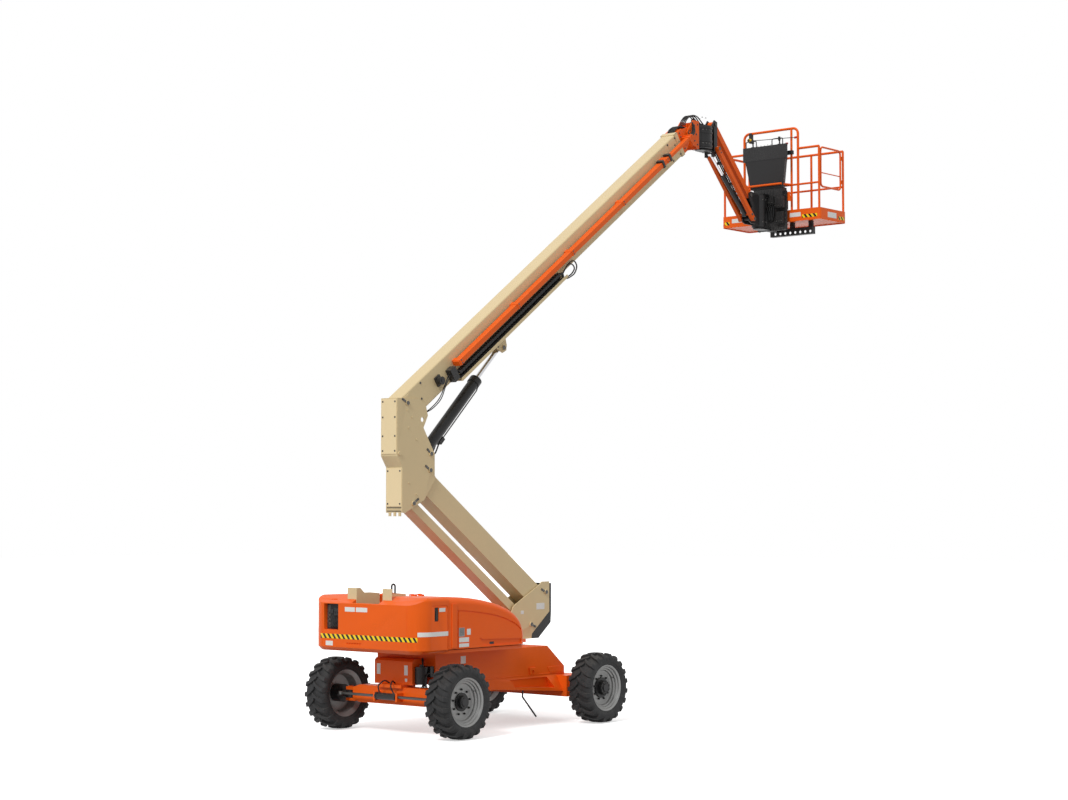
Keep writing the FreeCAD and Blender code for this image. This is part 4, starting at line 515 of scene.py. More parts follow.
RIM_PROFILE = [
    (0.292, -0.138), (0.300, -0.145), (0.303, -0.139), (0.292, -0.128), (0.262, -0.104), (0.252, -0.060),
    (0.252, 0.044), (0.262, 0.070), (0.288, 0.120), (0.292, 0.134), (0.300, 0.141), (0.300, 0.147), (0.287, 0.141),
    (0.277, 0.134), (0.272, 0.112), (0.262, 0.105), (0.254, 0.103), (0.250, 0.082), (0.238, 0.076), (0.231, 0.074),
    (0.226, 0.050), (0.214, 0.043), (0.196, 0.042), (0.150, 0.046), (0.075, 0.046), (0.075, 0.032), (0.150, 0.032),
    (0.205, 0.030), (0.232, 0.020), (0.240, -0.050), (0.252, -0.100), (0.280, -0.126)]
WHEEL_BOLTS = 9
BOLT_CIRCLE = 0.152
HUB_BOLTS = 10
# How far outward of the wheel's middle plane the rim's disc stands.
DISC_FACE = 0.046


def wheels():
    """Tyres, rim discs, hubs and valve stems of the four wheels."""
    for end in ("steer", "drive"):
        for name, side in (("left", LEFT), ("right", RIGHT)):
            tyre, rim = "tyre_" + end + "_" + name, "rim_" + end + "_" + name
            low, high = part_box(tyre)
            centre = (low + high) / 2
            body = body_of(tyre)
            rubber = finished(tyre + "_lugged", tyre_mesh(centre), "tyre_rubber", body, smooth=50.0, bevel=0.004)
            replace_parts(rubber, tyre)
            work = bmesh.new()
            revolved(work, RIM_PROFILE, centre, side, 80)
            bmesh.ops.recalc_face_normals(work, faces=work.faces)
            disc = finished(rim + "_disc", mesh_from(work, "disc"), "rim_silver", body, smooth=28.0, bevel=0.0015)
            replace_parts(disc, rim)
            out = Vector((0, side, 0))
            hub = Batch("hub_" + end + "_" + name, body, "black_paint")
            face = centre + out * DISC_FACE
            if end == "steer":
                hub.rod(face - out * 0.02, face + out * 0.016, 0.108, 0.104, 32)
                hub.rod(face, face + out * 0.062, 0.082, 0.076, 32)
                hub.rod(face + out * 0.06, face + out * 0.072, 0.058, 0.052, 24)
            else:
                hub.rod(face - out * 0.02, face + out * 0.022, 0.136, 0.132, 32)
                hub.rod(face, face + out * 0.078, 0.098, 0.090, HUB_BOLTS)
                hub.rod(face + out * 0.07, face + out * 0.092, 0.056, 0.052, 24)
                for turn in around(HUB_BOLTS, 0.5):
                    from_axle = Vector((math.cos(turn), 0, math.sin(turn))) * 0.076
                    hub.bolt(face + out * 0.076 + from_axle, out, 0.016, 0.010)
            for turn in around(WHEEL_BOLTS, 0.25):
                nut = face + Vector((math.cos(turn), 0, math.sin(turn))) * BOLT_CIRCLE
                hub.rod(nut, nut + out * 0.022, 0.0135, 0.0125, 6)
                hub.rod(nut, nut + out * 0.028, 0.007, 0.006, 8)
            hub.done()
            valve = Batch("valve_stem_" + end + "_" + name, body, "black_plastic")
            start = centre + out * 0.094 + Vector((0.196, 0, 0.122))
            valve.tube([start - out * 0.02, start + out * 0.012, start + out * 0.02 - Vector((0.012, 0, 0.008))],
                       0.004)
            valve.done(SHARP)


# ---------------------------------------------------------------- places on the machine
def joint_place(name):
    """Where the joint stands in the rest pose."""
    return Vector(JOINTS[name]["pos_m"])


RISER_BASE = joint_place("riser_lift")
RISER_TOP = joint_place("upright_level")
LOWER_BASE = joint_place("riser_lower_pivot")
LOWER_TOP = RISER_TOP + LOWER_BASE - RISER_BASE
RISER_DIR = (RISER_TOP - RISER_BASE).normalized()
RISER_UP = Vector((RISER_DIR.z, 0, -RISER_DIR.x))
LIFT_BASE = joint_place("lift_cylinder_pivot")
LIFT_DIR = Vector(JOINTS["lift_cylinder_stroke"]["axis"]).normalized()
LIFT_UP = Vector((-LIFT_DIR.z, 0, LIFT_DIR.x))
HEAD_PIVOT = joint_place("head_level")
JIB_PIVOT = joint_place("jib_lift")
JIB_UPPER = joint_place("jib_upper_pivot")
JIB_END = joint_place("platform_level")
JIB_DIR = (JIB_END - JIB_PIVOT).normalized()
JIB_UP = Vector((-JIB_DIR.z, 0, JIB_DIR.x))
TAIL_LOW, TAIL_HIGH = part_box("tail_counterweight")
TAIL_CORNER = 0.22
SIDE_Y = TAIL_HIGH.y
# Half widths: the boom's box, the upright's side plates, and the pins that stand out of those plates.
BOOM_HALF = 0.12
UPRIGHT_Y = 0.14
PIN_END = 0.154


def spot(origin, ahead, up, s, n, y):
    """A place s metres along a member from its origin, n above its line and y to the machine's left."""
    return origin + ahead * s + up * n + Vector((0, y, 0))


def boom_at(s, n, y):
    return spot(BOOM_PIVOT, BOOM_DIR, BOOM_UP, s, n, y)


def lift_at(s, n, y):
    return spot(LIFT_BASE, LIFT_DIR, LIFT_UP, s, n, y)


def jib_at(s, n, y):
    return spot(JIB_PIVOT, JIB_DIR, JIB_UP, s, n, y)


def riser_at(s, n, y):
    return spot(RISER_BASE, RISER_DIR, RISER_UP, s, n, y)


def carved(node, material, cutters, bevel=ROUND_EDGE, smooth=35.0, segments=2):
    """The node again with the cutters' forms taken out of it and softened edges, standing for the plain one."""
    body = bpy.data.objects.new(node + "_blank", mesh_from(welded_copy(node), node + "_carved"))
    bmesh.ops.recalc_face_normals(cutters.work, faces=cutters.work.faces)
    tool = bpy.data.objects.new(node + "_tool", mesh_from(cutters.work, node + "_tool"))
    for each in (body, tool):
        bpy.context.scene.collection.objects.link(each)
    taken = body.modifiers.new("carve", "BOOLEAN")
    taken.object = tool
    taken.solver = "EXACT"
    taken.use_self = True
    bpy.context.view_layer.update()
    result = bpy.data.meshes.new_from_object(body.evaluated_get(bpy.context.evaluated_depsgraph_get()))
    for each in (body, tool):
        bpy.data.objects.remove(each)
    piece = finished(node + "_carved", result, material, body_of(node), smooth, bevel, segments)
    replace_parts(piece, node)
    return piece


def groove(cutters, points, out, width=0.010, depth=0.009):
    """A narrow channel cut along points on a flat face that looks along out."""
    out = Vector(out).normalized()
    points = [Vector(point) for point in points]
    for start, end in zip(points, points[1:]):
        ahead = (end - start).normalized()
        side = ahead.cross(out).normalized() * width / 2
        low = [start - ahead * width / 2 - side - out * depth, end + ahead * width / 2 - side - out * depth,
               end + ahead * width / 2 + side - out * depth, start - ahead * width / 2 + side - out * depth]
        high = [corner + out * (depth + 0.004) for corner in low]
        cutters.add(low + high, RING_FACES)


TAIL_STRAIGHT = TAIL_HIGH.x - TAIL_LOW.x - TAIL_CORNER
TAIL_ARC = TAIL_CORNER * math.pi / 2
TAIL_END = 2 * (SIDE_Y - TAIL_CORNER)


def tail_line(start, end, offset=0.0015, steps=8):
    """Plan points round the tail from one place to another: places run from the left side's front, over the end
    face, to the right side's front, in metres along the skin."""
    corner_x, corner_y = TAIL_LOW.x + TAIL_CORNER, SIDE_Y - TAIL_CORNER
    radius = TAIL_CORNER + offset

    def at(place):
        if place < TAIL_STRAIGHT:
            return (TAIL_HIGH.x - place, SIDE_Y + offset)
        place -= TAIL_STRAIGHT
        if place < TAIL_ARC:
            turn = place / TAIL_CORNER
            return (corner_x - radius * math.sin(turn), corner_y + radius * math.cos(turn))
        place -= TAIL_ARC
        if place < TAIL_END:
            return (TAIL_LOW.x - offset, corner_y - place)
        place -= TAIL_END
        if place < TAIL_ARC:
            turn = place / TAIL_CORNER
            return (corner_x - radius * math.cos(turn), -corner_y - radius * math.sin(turn))
        place -= TAIL_ARC
        return (corner_x + place, -SIDE_Y - offset)

    marks = [TAIL_STRAIGHT, TAIL_STRAIGHT + TAIL_ARC, TAIL_STRAIGHT + TAIL_ARC + TAIL_END,
             TAIL_STRAIGHT + 2 * TAIL_ARC + TAIL_END]
    stops = [start] + [mark for mark in marks if start < mark < end] + [end]
    places = []
    for first, second in zip(stops, stops[1:]):
        places += [first + (second - first) * step / steps for step in range(steps)]
    return [at(place) for place in places + [end]]


def tail_place(x=None, y=None, side=RIGHT):
    """The place along the tail's skin of a height line at x on a side, or at y on the end face."""
    if y is not None:
        return TAIL_STRAIGHT + TAIL_ARC + SIDE_Y - TAIL_CORNER - y
    total = 2 * (TAIL_STRAIGHT + TAIL_ARC) + TAIL_END
    from_front = TAIL_HIGH.x - x
    if x < TAIL_LOW.x + TAIL_CORNER:
        turn = math.asin(min(1.0, (TAIL_LOW.x + TAIL_CORNER - x) / TAIL_CORNER))
        from_front = TAIL_STRAIGHT + turn * TAIL_CORNER
    return total - from_front if side == RIGHT else from_front


def wrap(batch, plan, low, high, thickness=0.0015):
    """A thin upright band along plan points, from height low to high."""
    outer = [Vector((x, y, 0)) for x, y in plan]
    inner = []
    for index, point in enumerate(outer):
        ahead = (outer[min(index + 1, len(outer) - 1)] - outer[max(index - 1, 0)]).normalized()
        inner.append(point + Vector((ahead.y, -ahead.x, 0)) * -thickness * 2)
    rings = []
    for a, b in zip(outer, inner):
        rings.append([batch.work.verts.new((a.x, a.y, low)), batch.work.verts.new((a.x, a.y, high)),
                      batch.work.verts.new((b.x, b.y, high)), batch.work.verts.new((b.x, b.y, low))])
    join_rings(batch.work, rings)


# ---------------------------------------------------------------- tail and hoods
HOOD_DOOR = [(-1.259, 1.551), (-1.150, 1.545), (-1.045, 1.535), (-0.920, 1.522), (-0.800, 1.506), (-0.670, 1.487),
             (-0.548, 1.465), (-0.430, 1.437), (-0.326, 1.404), (-0.250, 1.377), (-0.181, 1.347), (-0.120, 1.313),
             (-0.068, 1.269)]
BAY_DEPTH = 0.058
# How far a blank label is let into its surface and how far it stands off.
LABEL_SUNK, LABEL_PROUD, LABEL_THIN = 0.0004, 0.0016, 0.0014
HOOD_HANDHOLD = [(-0.859, 1.205), (-0.797, 1.184), (-0.060, 1.160), (-0.060, 1.100), (-0.790, 1.100)]


def tail():
    """The counterweight's grooves, connector bay and vents, its hazard band and blank labels."""
    cutters = Batch("tail_cutters", "turntable", "orange_paint")
    for side in (LEFT, RIGHT):
        y = side * SIDE_Y
        panel = [(-1.445, 1.10), (-1.445, 1.575), (-1.452, 1.602), (-1.472, 1.618), (-1.50, 1.622), (-1.72, 1.622)]
        groove(cutters, [(x, y, z) for x, z in panel], (0, side, 0))
        cutters.box((-1.682, y - 0.012, 1.436), (-1.613, y + 0.012, 1.604))
    end = TAIL_LOW.x
    for y in (0.626, 0.590, 0.555):
        cutters.box((end - 0.03, y - 0.014, 1.662), (end + 0.09, y + 0.014, 1.680))
    for index in range(6):
        y = 0.303 - index * 0.044
        cutters.box((end - 0.01, y - 0.036, 1.130), (end + 0.012, y, 1.147))
    for y in (0.742, -0.742):
        groove(cutters, [(end, y * 0.97, 1.60), (end, y * 0.97, 1.11)], REAR, 0.004, 0.003)
    carved("tail_counterweight", "orange_paint", cutters, 0.004)

    black = Batch("tail_fittings", "turntable", "black_plastic")
    recess = SIDE_Y - 0.011
    for side in (LEFT, RIGHT):
        black.side_box(side, (-1.681, -1.614), recess, recess + 0.004, (1.437, 1.603))
        black.side_box(side, (-1.664, -1.631), recess, recess + 0.013, (1.452, 1.560))
        black.rod((-1.647, side * recess, 1.582), (-1.647, side * (recess + 0.012), 1.582), 0.010)
    # The connector bay in the end face
    back = end + BAY_DEPTH
    black.box((back - 0.002, 0.453, 1.303), (back + 0.001, 0.697, 1.617))
    black.box((back - 0.045, 0.462, 1.475), (back, 0.535, 1.560))
    black.box((back - 0.034, 0.560, 1.500), (back, 0.625, 1.545))
    for y in (0.482, 0.508):
        black.rod((back - 0.044, y, 1.515), (back - 0.058, y, 1.515), 0.010)
    for index in range(5):
        y = 0.472 + index * 0.026
        black.tube([(back - 0.020, y, 1.480), (back - 0.034, y + 0.008, 1.430), (back - 0.028, y - 0.010, 1.380),
                    (back - 0.030, y + 0.022, 1.335), (back - 0.012, y + 0.030, 1.306)], 0.0055, 8)
    black.done(0.0012)
    metal = Batch("tail_bay_metal", "turntable", "dark_steel")
    metal.box((back - 0.006, 0.640, 1.320), (back, 0.690, 1.600))
    for z in (1.34, 1.58):
        metal.bolt((back - 0.006, 0.665, z), REAR, 0.014, 0.008)
    for z in (1.40, 1.45, 1.50):
        metal.rod((back - 0.005, 0.655, z), (back - 0.030, 0.655, z), 0.008)
    metal.done(FINE_EDGE)

    stripe = Batch("tail_stripe", "turntable", "hazard_stripe")
    wrap(stripe, tail_line(tail_place(y=0.765), tail_place(x=-1.90)), 1.190, 1.247)
    stripe.done(SHARP)
    labels = Batch("tail_labels", "turntable", "label_white")
    for y0, y1, z0, z1 in ((0.333, 0.161, 1.53, 1.585), (0.141, -0.053, 1.53, 1.585), (0.667, 0.543, 1.102, 1.159)):
        labels.box((end - LABEL_PROUD, y1, z0), (end + LABEL_SUNK, y0, z1))
    for side in (LEFT, RIGHT):
        first, last = sorted((tail_place(x=-1.900, side=side), tail_place(x=-1.440, side=side)))
        wrap(labels, tail_line(first, last), 1.256, 1.310)
        labels.side_box(side, (-1.600, -1.493), SIDE_Y - LABEL_SUNK, SIDE_Y + LABEL_PROUD, (1.550, 1.596))
    labels.done(SHARP)


def hoods():
    """The door seam, hand hold, pillar, grille and blank labels of the two hoods."""
    for name, side in (("left", LEFT), ("right", RIGHT)):
        node = "hood_" + name
        y = side * SIDE_Y
        cutters = Batch(node + "_cutters", node, "orange_cover")
        groove(cutters, [(-1.259, y, 1.10)] + [(x, y, z) for x, z in HOOD_DOOR], (0, side, 0), 0.016, 0.012)
        cutters.side_plate(side, HOOD_HANDHOLD, SIDE_Y - 0.016, SIDE_Y + 0.02)
        carved(node, "orange_cover", cutters, 0.004, 30.0, 3)
        trim = Batch(node + "_pillar", node, "orange_cover")
        trim.side_box(side, (-1.378, -1.292), SIDE_Y, SIDE_Y + 0.012, (1.10, 1.640))
        trim.done(0.010, segments=3)
        grey = Batch(node + "_grille", node, "rim_silver")
        grey.side_box(side, (-1.246, -1.144), SIDE_Y, SIDE_Y + 0.005, (1.234, 1.342))
        grey.done(ROUND_EDGE)
        slots = Batch(node + "_grille_slots_and_latch_hole_shade", node, "black_plastic")
        for index in range(6):
            z = 1.250 + index * 0.015
            slots.side_box(side, (-1.238, -1.154), SIDE_Y + 0.004, SIDE_Y + 0.0058, (z, z + 0.007))
        # A thin black strip on the hand hold's floor is painted shade: it stands for the dark inside of the latch
        # hole
        slots.side_box(side, (-0.658, -0.578), SIDE_Y - 0.0165, SIDE_Y - 0.014, (1.116, 1.146))
        slots.done(SHARP)
        labels = Batch(node + "_labels", node, "label_white")
        for along, height in (((-1.097, -1.03), (1.25, 1.324)), ((-1.240, -1.06), (1.165, 1.222)),
                              ((-1.240, -1.06), (1.105, 1.149))):
            labels.side_box(side, along, SIDE_Y - LABEL_SUNK, SIDE_Y + LABEL_THIN, height)
        labels.done(SHARP)


# ---------------------------------------------------------------- chassis
CHASSIS_SIDE = 0.50
# Where the two drive motors stand on the drive axle.
MOTOR_Y, MOTOR_Z = 0.30, 0.47


def chassis():
    """The frame's side pockets, weld strips, nose fittings, guard rod, steering gear and drive motors."""
    cutters = Batch("chassis_cutters", "chassis", "orange_paint")
    for side in (LEFT, RIGHT):
        cutters.side_plate(side, [(0.20, 0.595), (0.94, 0.595), (1.02, 0.455), (0.26, 0.500)], 0.485, 0.72)
    carved("chassis_frame", "orange_paint", cutters, 0.004)
    labels = Batch("chassis_labels", "chassis", "label_white")
    steel = Batch("chassis_bolts", "chassis", "dark_steel")
    orange = Batch("chassis_welds", "chassis", "orange_paint")
    black = Batch("chassis_black", "chassis", "black_paint")
    hoses = Batch("chassis_hoses", "chassis", "hose_rubber")
    for side in (LEFT, RIGHT):
        labels.side_box(side, (-0.734, -0.64), CHASSIS_SIDE - LABEL_SUNK, CHASSIS_SIDE + LABEL_PROUD, (0.857, 0.95))
        orange.side_box(side, (-1.195, 1.31), CHASSIS_SIDE, CHASSIS_SIDE + 0.006, (0.628, 0.642))
        outer = CHASSIS_SIDE + 0.006 if side == LEFT else -CHASSIS_SIDE
        orange.plate([(0.96, 0.722), (1.30, 0.722), (1.30, 0.642), (1.02, 0.642)], (0, outer, 0), (1, 0, 0),
                     (0, 0, 1), 0.008)
    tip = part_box("chassis_frame")[0].x
    for y0, y1, z0, z1 in ((0.222, 0.284, 0.735, 0.868), (-0.247, -0.187, 0.740, 0.862),
                           (-0.238, -0.200, 0.662, 0.700)):
        labels.box((tip - LABEL_PROUD, y0, z0), (tip + LABEL_SUNK, y1, z1))
    # A bent guard rod that hangs under the right side
    black.tube([(0.512, -0.47, 0.50), (0.498, -0.47, 0.36), (0.775, -0.47, 0.085)], 0.012, smooth=False)
    # Fittings on the nose: valve block unions, canister cap and the hoses between them
    low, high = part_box("valve_block")
    x = low.x - 0.002
    for index in range(4):
        y, z = low.y + 0.016 + index * 0.018, low.z + 0.045 + (index % 2) * 0.04
        steel.rod((x, y, z), (x - 0.022, y, z), 0.008, sides=6)
        hoses.tube([(x - 0.020, y, z), (x - 0.075, y - 0.02, low.z + 0.02),
                    (x - 0.090, y - 0.03, low.z - 0.09), (x - 0.050, y + 0.04 * (index - 1), low.z - 0.20),
                    (x + 0.02, y + 0.10, low.z - 0.235)], 0.0085)
    low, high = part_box("hydraulic_canister")
    x, y, top = low.x + 0.07, low.y + 0.07, high.z
    black.rod((x, y, top - 0.018), (x, y, top + 0.002), 0.078, sides=32)
    black.rod((x, y, top), (x, y, top + 0.030), 0.030, 0.026, 20)
    hoses.tube([(x + 0.02, y, top + 0.025), (x + 0.05, y + 0.03, top + 0.10), (x + 0.11, y + 0.08, top + 0.06),
                (x + 0.13, y + 0.16, top - 0.02)], 0.011)
    # Steering cylinder: hoses, glands and kingpin caps
    low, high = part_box("steering_cylinder")
    mid = (low + high) / 2
    for side in (LEFT, RIGHT):
        black.rod((mid.x, side * 0.150, mid.z), (mid.x, side * 0.172, mid.z), 0.047, sides=28)
        steel.rod((mid.x, side * 0.120, mid.z + 0.036), (mid.x - 0.01, side * 0.120, mid.z + 0.062), 0.010, sides=6)
        hoses.tube([(mid.x - 0.01, side * 0.120, mid.z + 0.055), (mid.x - 0.035, side * 0.105, mid.z + 0.13),
                    (mid.x + 0.03, side * 0.07, mid.z + 0.19), (mid.x + 0.10, side * 0.05, mid.z + 0.16)], 0.009)
        for z in (0.555, 0.560):
            steel.rod((-1.37, side * 0.80, z), (-1.37, side * 0.80, z + 0.012), 0.020, sides=6)
    # Drive axle: motor, covers and pipes
    face_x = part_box("drive_axle")[0].x
    for side in (LEFT, RIGHT):
        y, z = side * MOTOR_Y, MOTOR_Z
        black.rod((face_x + 0.002, y, z), (face_x - 0.115, y, z), 0.062, sides=24)
        black.rod((face_x - 0.10, y, z), (face_x - 0.13, y, z), 0.045, sides=24)
        for turn in around(6):
            steel.bolt((face_x, y + 0.085 * math.cos(turn), z + 0.085 * math.sin(turn)), REAR, 0.016)
        hoses.tube([(face_x - 0.08, y, 0.53), (face_x - 0.11, side * 0.28, 0.60),
                    (face_x - 0.06, side * 0.20, 0.64), (face_x - 0.04, side * 0.12, 0.62)], 0.010)
        for x in (1.22, 1.32, 1.44):
            for z in (0.36, 0.58):
                steel.bolt((x, side * 0.68, z), (0, side, 0), 0.018, 0.011)
    labels.done(SHARP)
    steel.done(FINE_EDGE)
    orange.done(SOFT_EDGE)
    black.done()
    hoses.done(SHARP)


# ---------------------------------------------------------------- riser
def pin_keeper(steel, pin, bolt, side):
    """A pin's end with the flat keeper that a bolt holds beside it."""
    end = Vector((pin[0], side * PIN_END, pin[1]))
    steel.rod(end - Vector((0, side * 0.002, 0)), end + Vector((0, side * 0.004, 0)), 0.026, sides=28)
    steel.rod(end, end + Vector((0, side * 0.006, 0)), 0.007, sides=10)
    way = Vector((bolt[0] - pin[0], 0, bolt[1] - pin[1]))
    across = Vector((-way.z, 0, way.x)).normalized() * 0.014
    start = Vector((pin[0], side * UPRIGHT_Y, pin[1])) + way.normalized() * 0.020
    tip = Vector((bolt[0], side * UPRIGHT_Y, bolt[1])) + way.normalized() * 0.016
    out = Vector((0, side * 0.006, 0))
    corners = [start - across, tip - across, tip + across, start + across]
    steel.add(corners + [corner + out for corner in corners], RING_FACES)
    steel.bolt(Vector((bolt[0], side * (UPRIGHT_Y + 0.006), bolt[1])), (0, side, 0), 0.019, 0.012)


def riser_bracket():
    """Pins, blank labels and foot welds of the bracket that carries the riser."""
    steel = Batch("bracket_pins", "turntable", "dark_steel")
    labels = Batch("bracket_labels", "turntable", "label_white")
    weld = Batch("bracket_welds", "turntable", "cream_paint")
    for side in (LEFT, RIGHT):
        for pin, dx, dz in ((RISER_BASE, -0.085, 0.035), (LOWER_BASE, 0.080, -0.030)):
            pin_keeper(steel, (pin.x, pin.z), (pin.x + dx, pin.z + dz), side)
        labels.side_box(side, (1.175, 1.342), 0.1397, 0.1414, (1.455, 1.539))
        labels.side_box(side, (0.853, 0.913), 0.1397, 0.1414, (1.405, 1.451))
        weld.side_plate(side, [(0.47, 1.076), (1.072, 1.076), (1.068, 1.088), (0.480, 1.088)], 0.138, 0.149)
    steel.done(FINE_EDGE)
    labels.done(SHARP)
    weld.done(ROUND_EDGE)


def riser_links():
    """The bosses at both ends of the riser's upper link."""
    steel = Batch("upper_link_metal", "riser_upper_link", "cream_paint")
    length = (RISER_TOP - RISER_BASE).length
    for side in (LEFT, RIGHT):
        for s in (0.0, length):
            end = riser_at(s, 0, side * 0.115)
            steel.rod(end, end + Vector((0, side * 0.008, 0)), 0.055, 0.052, 32)
    steel.done(SOFT_EDGE)


def upright():
    """The upright's pins, bolts, round opening, end covers and cable clips."""
    steel = Batch("upright_bolts", "upright", "dark_steel")
    cream = Batch("upright_keepers", "upright", "cream_paint")
    cover = Batch("upright_covers", "upright", "cream_cover")
    black = Batch("upright_black", "upright", "black_paint")
    pins = [((BOOM_PIVOT.x, BOOM_PIVOT.z), (-1.423, 4.165)), ((LIFT_BASE.x, LIFT_BASE.z), (-0.966, 3.545)),
            ((RISER_TOP.x, RISER_TOP.z), (-0.995, 3.335)), ((LOWER_TOP.x, LOWER_TOP.z), (-1.143, 2.918))]
    for side in (LEFT, RIGHT):
        for pin, bolt in pins:
            pin_keeper(steel, pin, bolt, side)
        for x, z in ((-1.338, 4.03), (-1.254, 3.945), (-1.319, 3.81), (-1.170, 3.667), (-1.308, 3.12),
                     (-1.168, 2.98)):
            cream.bolt((x, side * UPRIGHT_Y, z), (0, side, 0), 0.016, 0.009)
        cream.rod((-1.480, side * 0.138, 3.488), (-1.480, side * 0.156, 3.488), 0.026, sides=24)
    cutters = Batch("upright_cutters", "upright", "cream_paint")
    cutters.rod((-1.061, -0.30, 3.922), (-1.061, 0.30, 3.922), 0.030, sides=28)
    carved("upright_frame", "cream_paint", cutters)
    cover.box((-1.527, -0.130, 3.480), (-1.519, 0.130, 4.165))
    cover.box((-1.434, -0.130, 2.825), (-1.426, 0.130, 3.305))
    for y in (-0.105, 0.105):
        for x, heights in ((-1.527, (3.52, 3.705, 3.94, 4.135)), (-1.434, (2.86, 3.27))):
            for z in heights:
                steel.bolt((x, y, z), REAR, 0.016, 0.009)
    for z in (2.806, 2.764):
        black.box((-1.429, -0.125, z), (-1.4265, 0.125, z + 0.010))
    for y in (0.075, -0.010, -0.095):
        cream.box((-1.429, y - 0.020, 2.705), (-1.417, y + 0.020, 2.752))
    steel.done(FINE_EDGE)
    cream.done(FINE_EDGE)
    cover.done(ROUND_EDGE)
    black.done(SHARP)


# ---------------------------------------------------------------- main boom
CARRIER_LOW, CARRIER_HIGH = 0.990, 3.560
CARRIER_FLOOR = -0.2727
CARRIER_OUTER, CARRIER_INNER = -0.212, -0.132
LINK_PITCH, LINK_HEIGHT = 0.058, 0.040
LINK_HALF = LINK_PITCH * 0.46
LINK_OUTLINE = [(-LINK_HALF, -0.015), (-LINK_HALF + 0.012, -0.019), (LINK_HALF - 0.012, -0.019), (LINK_HALF, -0.015),
                (LINK_HALF, 0.015), (LINK_HALF - 0.012, 0.019), (-LINK_HALF + 0.012, 0.019), (-LINK_HALF, 0.015)]


def cable_carrier():
    """The chain of links that lies folded in its tray, an upper and a lower run round one bend."""
    links = Batch("carrier_links", "main_boom", "black_plastic")
    bend = 0.036
    low_n = CARRIER_FLOOR + LINK_HEIGHT / 2 + 0.001
    high_n = low_n + 2 * bend
    stations = []
    s = CARRIER_LOW + 0.02
    while s < CARRIER_HIGH - bend - 0.03:
        stations.append((s, low_n, 0.0))
        s += LINK_PITCH
    last = s - LINK_PITCH
    steps = 3
    for index in range(1, steps):
        turn = math.pi * index / steps
        stations.append((last + 0.03 + bend * math.sin(turn), low_n + bend - bend * math.cos(turn), turn))
    s = last
    while s > CARRIER_LOW:
        stations.append((s, high_n, math.pi))
        s -= LINK_PITCH
    for s, n, turn in stations:
        for y0, y1 in ((CARRIER_OUTER, CARRIER_OUTER + 0.010), (CARRIER_INNER - 0.010, CARRIER_INNER)):
            corners = []
            for a, b in LINK_OUTLINE:
                corners.append((s + a * math.cos(turn) - b * math.sin(turn),
                                n + a * math.sin(turn) + b * math.cos(turn)))
            front = [boom_at(cs, cn, y0) for cs, cn in corners]
            back = [boom_at(cs, cn, y1) for cs, cn in corners]
            faces = [tuple(range(8)), tuple(range(15, 7, -1))]
            faces += [(i, i + 8, (i + 1) % 8 + 8, (i + 1) % 8) for i in range(8)]
            links.add(front + back, faces)
        links.rod(boom_at(s, n, CARRIER_OUTER - 0.002), boom_at(s, n, CARRIER_OUTER + 0.001), 0.009, sides=10)
        for lift in (-0.016, 0.016):
            cs, cn = s - lift * math.sin(turn), n + lift * math.cos(turn)
            links.laid_box(boom_at, (cs - 0.008, cs + 0.008), (cn - 0.002, cn + 0.002),
                           (CARRIER_OUTER + 0.008, CARRIER_INNER - 0.008))
    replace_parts(links.done(SHARP), "cable_carrier")
    hoses = Batch("carrier_hoses", "main_boom", "hose_rubber")
    for index in range(3):
        y = -0.190 + index * 0.018
        for n in (low_n, high_n):
            hoses.tube([boom_at(CARRIER_LOW, n, y), boom_at(2.2, n, y), boom_at(last, n, y)], 0.0075, 6, steps=2)
    # The loops that hang out of the carrier's end and go up to the side tube
    loops = [[(3.560, -0.235), (3.640, -0.203), (3.740, -0.185), (3.799, -0.200), (3.840, -0.250), (3.830, -0.300),
              (3.760, -0.322), (3.680, -0.320), (3.590, -0.300), (3.540, -0.262)],
             [(3.550, -0.215), (3.660, -0.180), (3.780, -0.165), (3.860, -0.190), (3.882, -0.250), (3.860, -0.300),
              (3.780, -0.338), (3.694, -0.336), (3.600, -0.315), (3.540, -0.270)]]
    for index, loop in enumerate(loops):
        hoses.tube([boom_at(s, n, -0.160 - 0.022 * index) for s, n in loop], 0.0095)
    # Hoses from the upright's foot to the carrier's anchor
    for index in range(2):
        y, sag = -0.150 - 0.020 * index, 0.012 * index
        hoses.tube([boom_at(0.840, -0.120 - sag, y), boom_at(0.70, -0.19, y), boom_at(0.52, -0.27 - sag, y),
                    boom_at(0.36, -0.31 - sag, y * 0.7), boom_at(0.24, -0.32, y * 0.3)], 0.0065)
    hoses.done(SHARP)


# Where the lift cylinder's rod meets the boom, along it and above its pivot line.
LIFT_EYE = (2.018, -0.440)


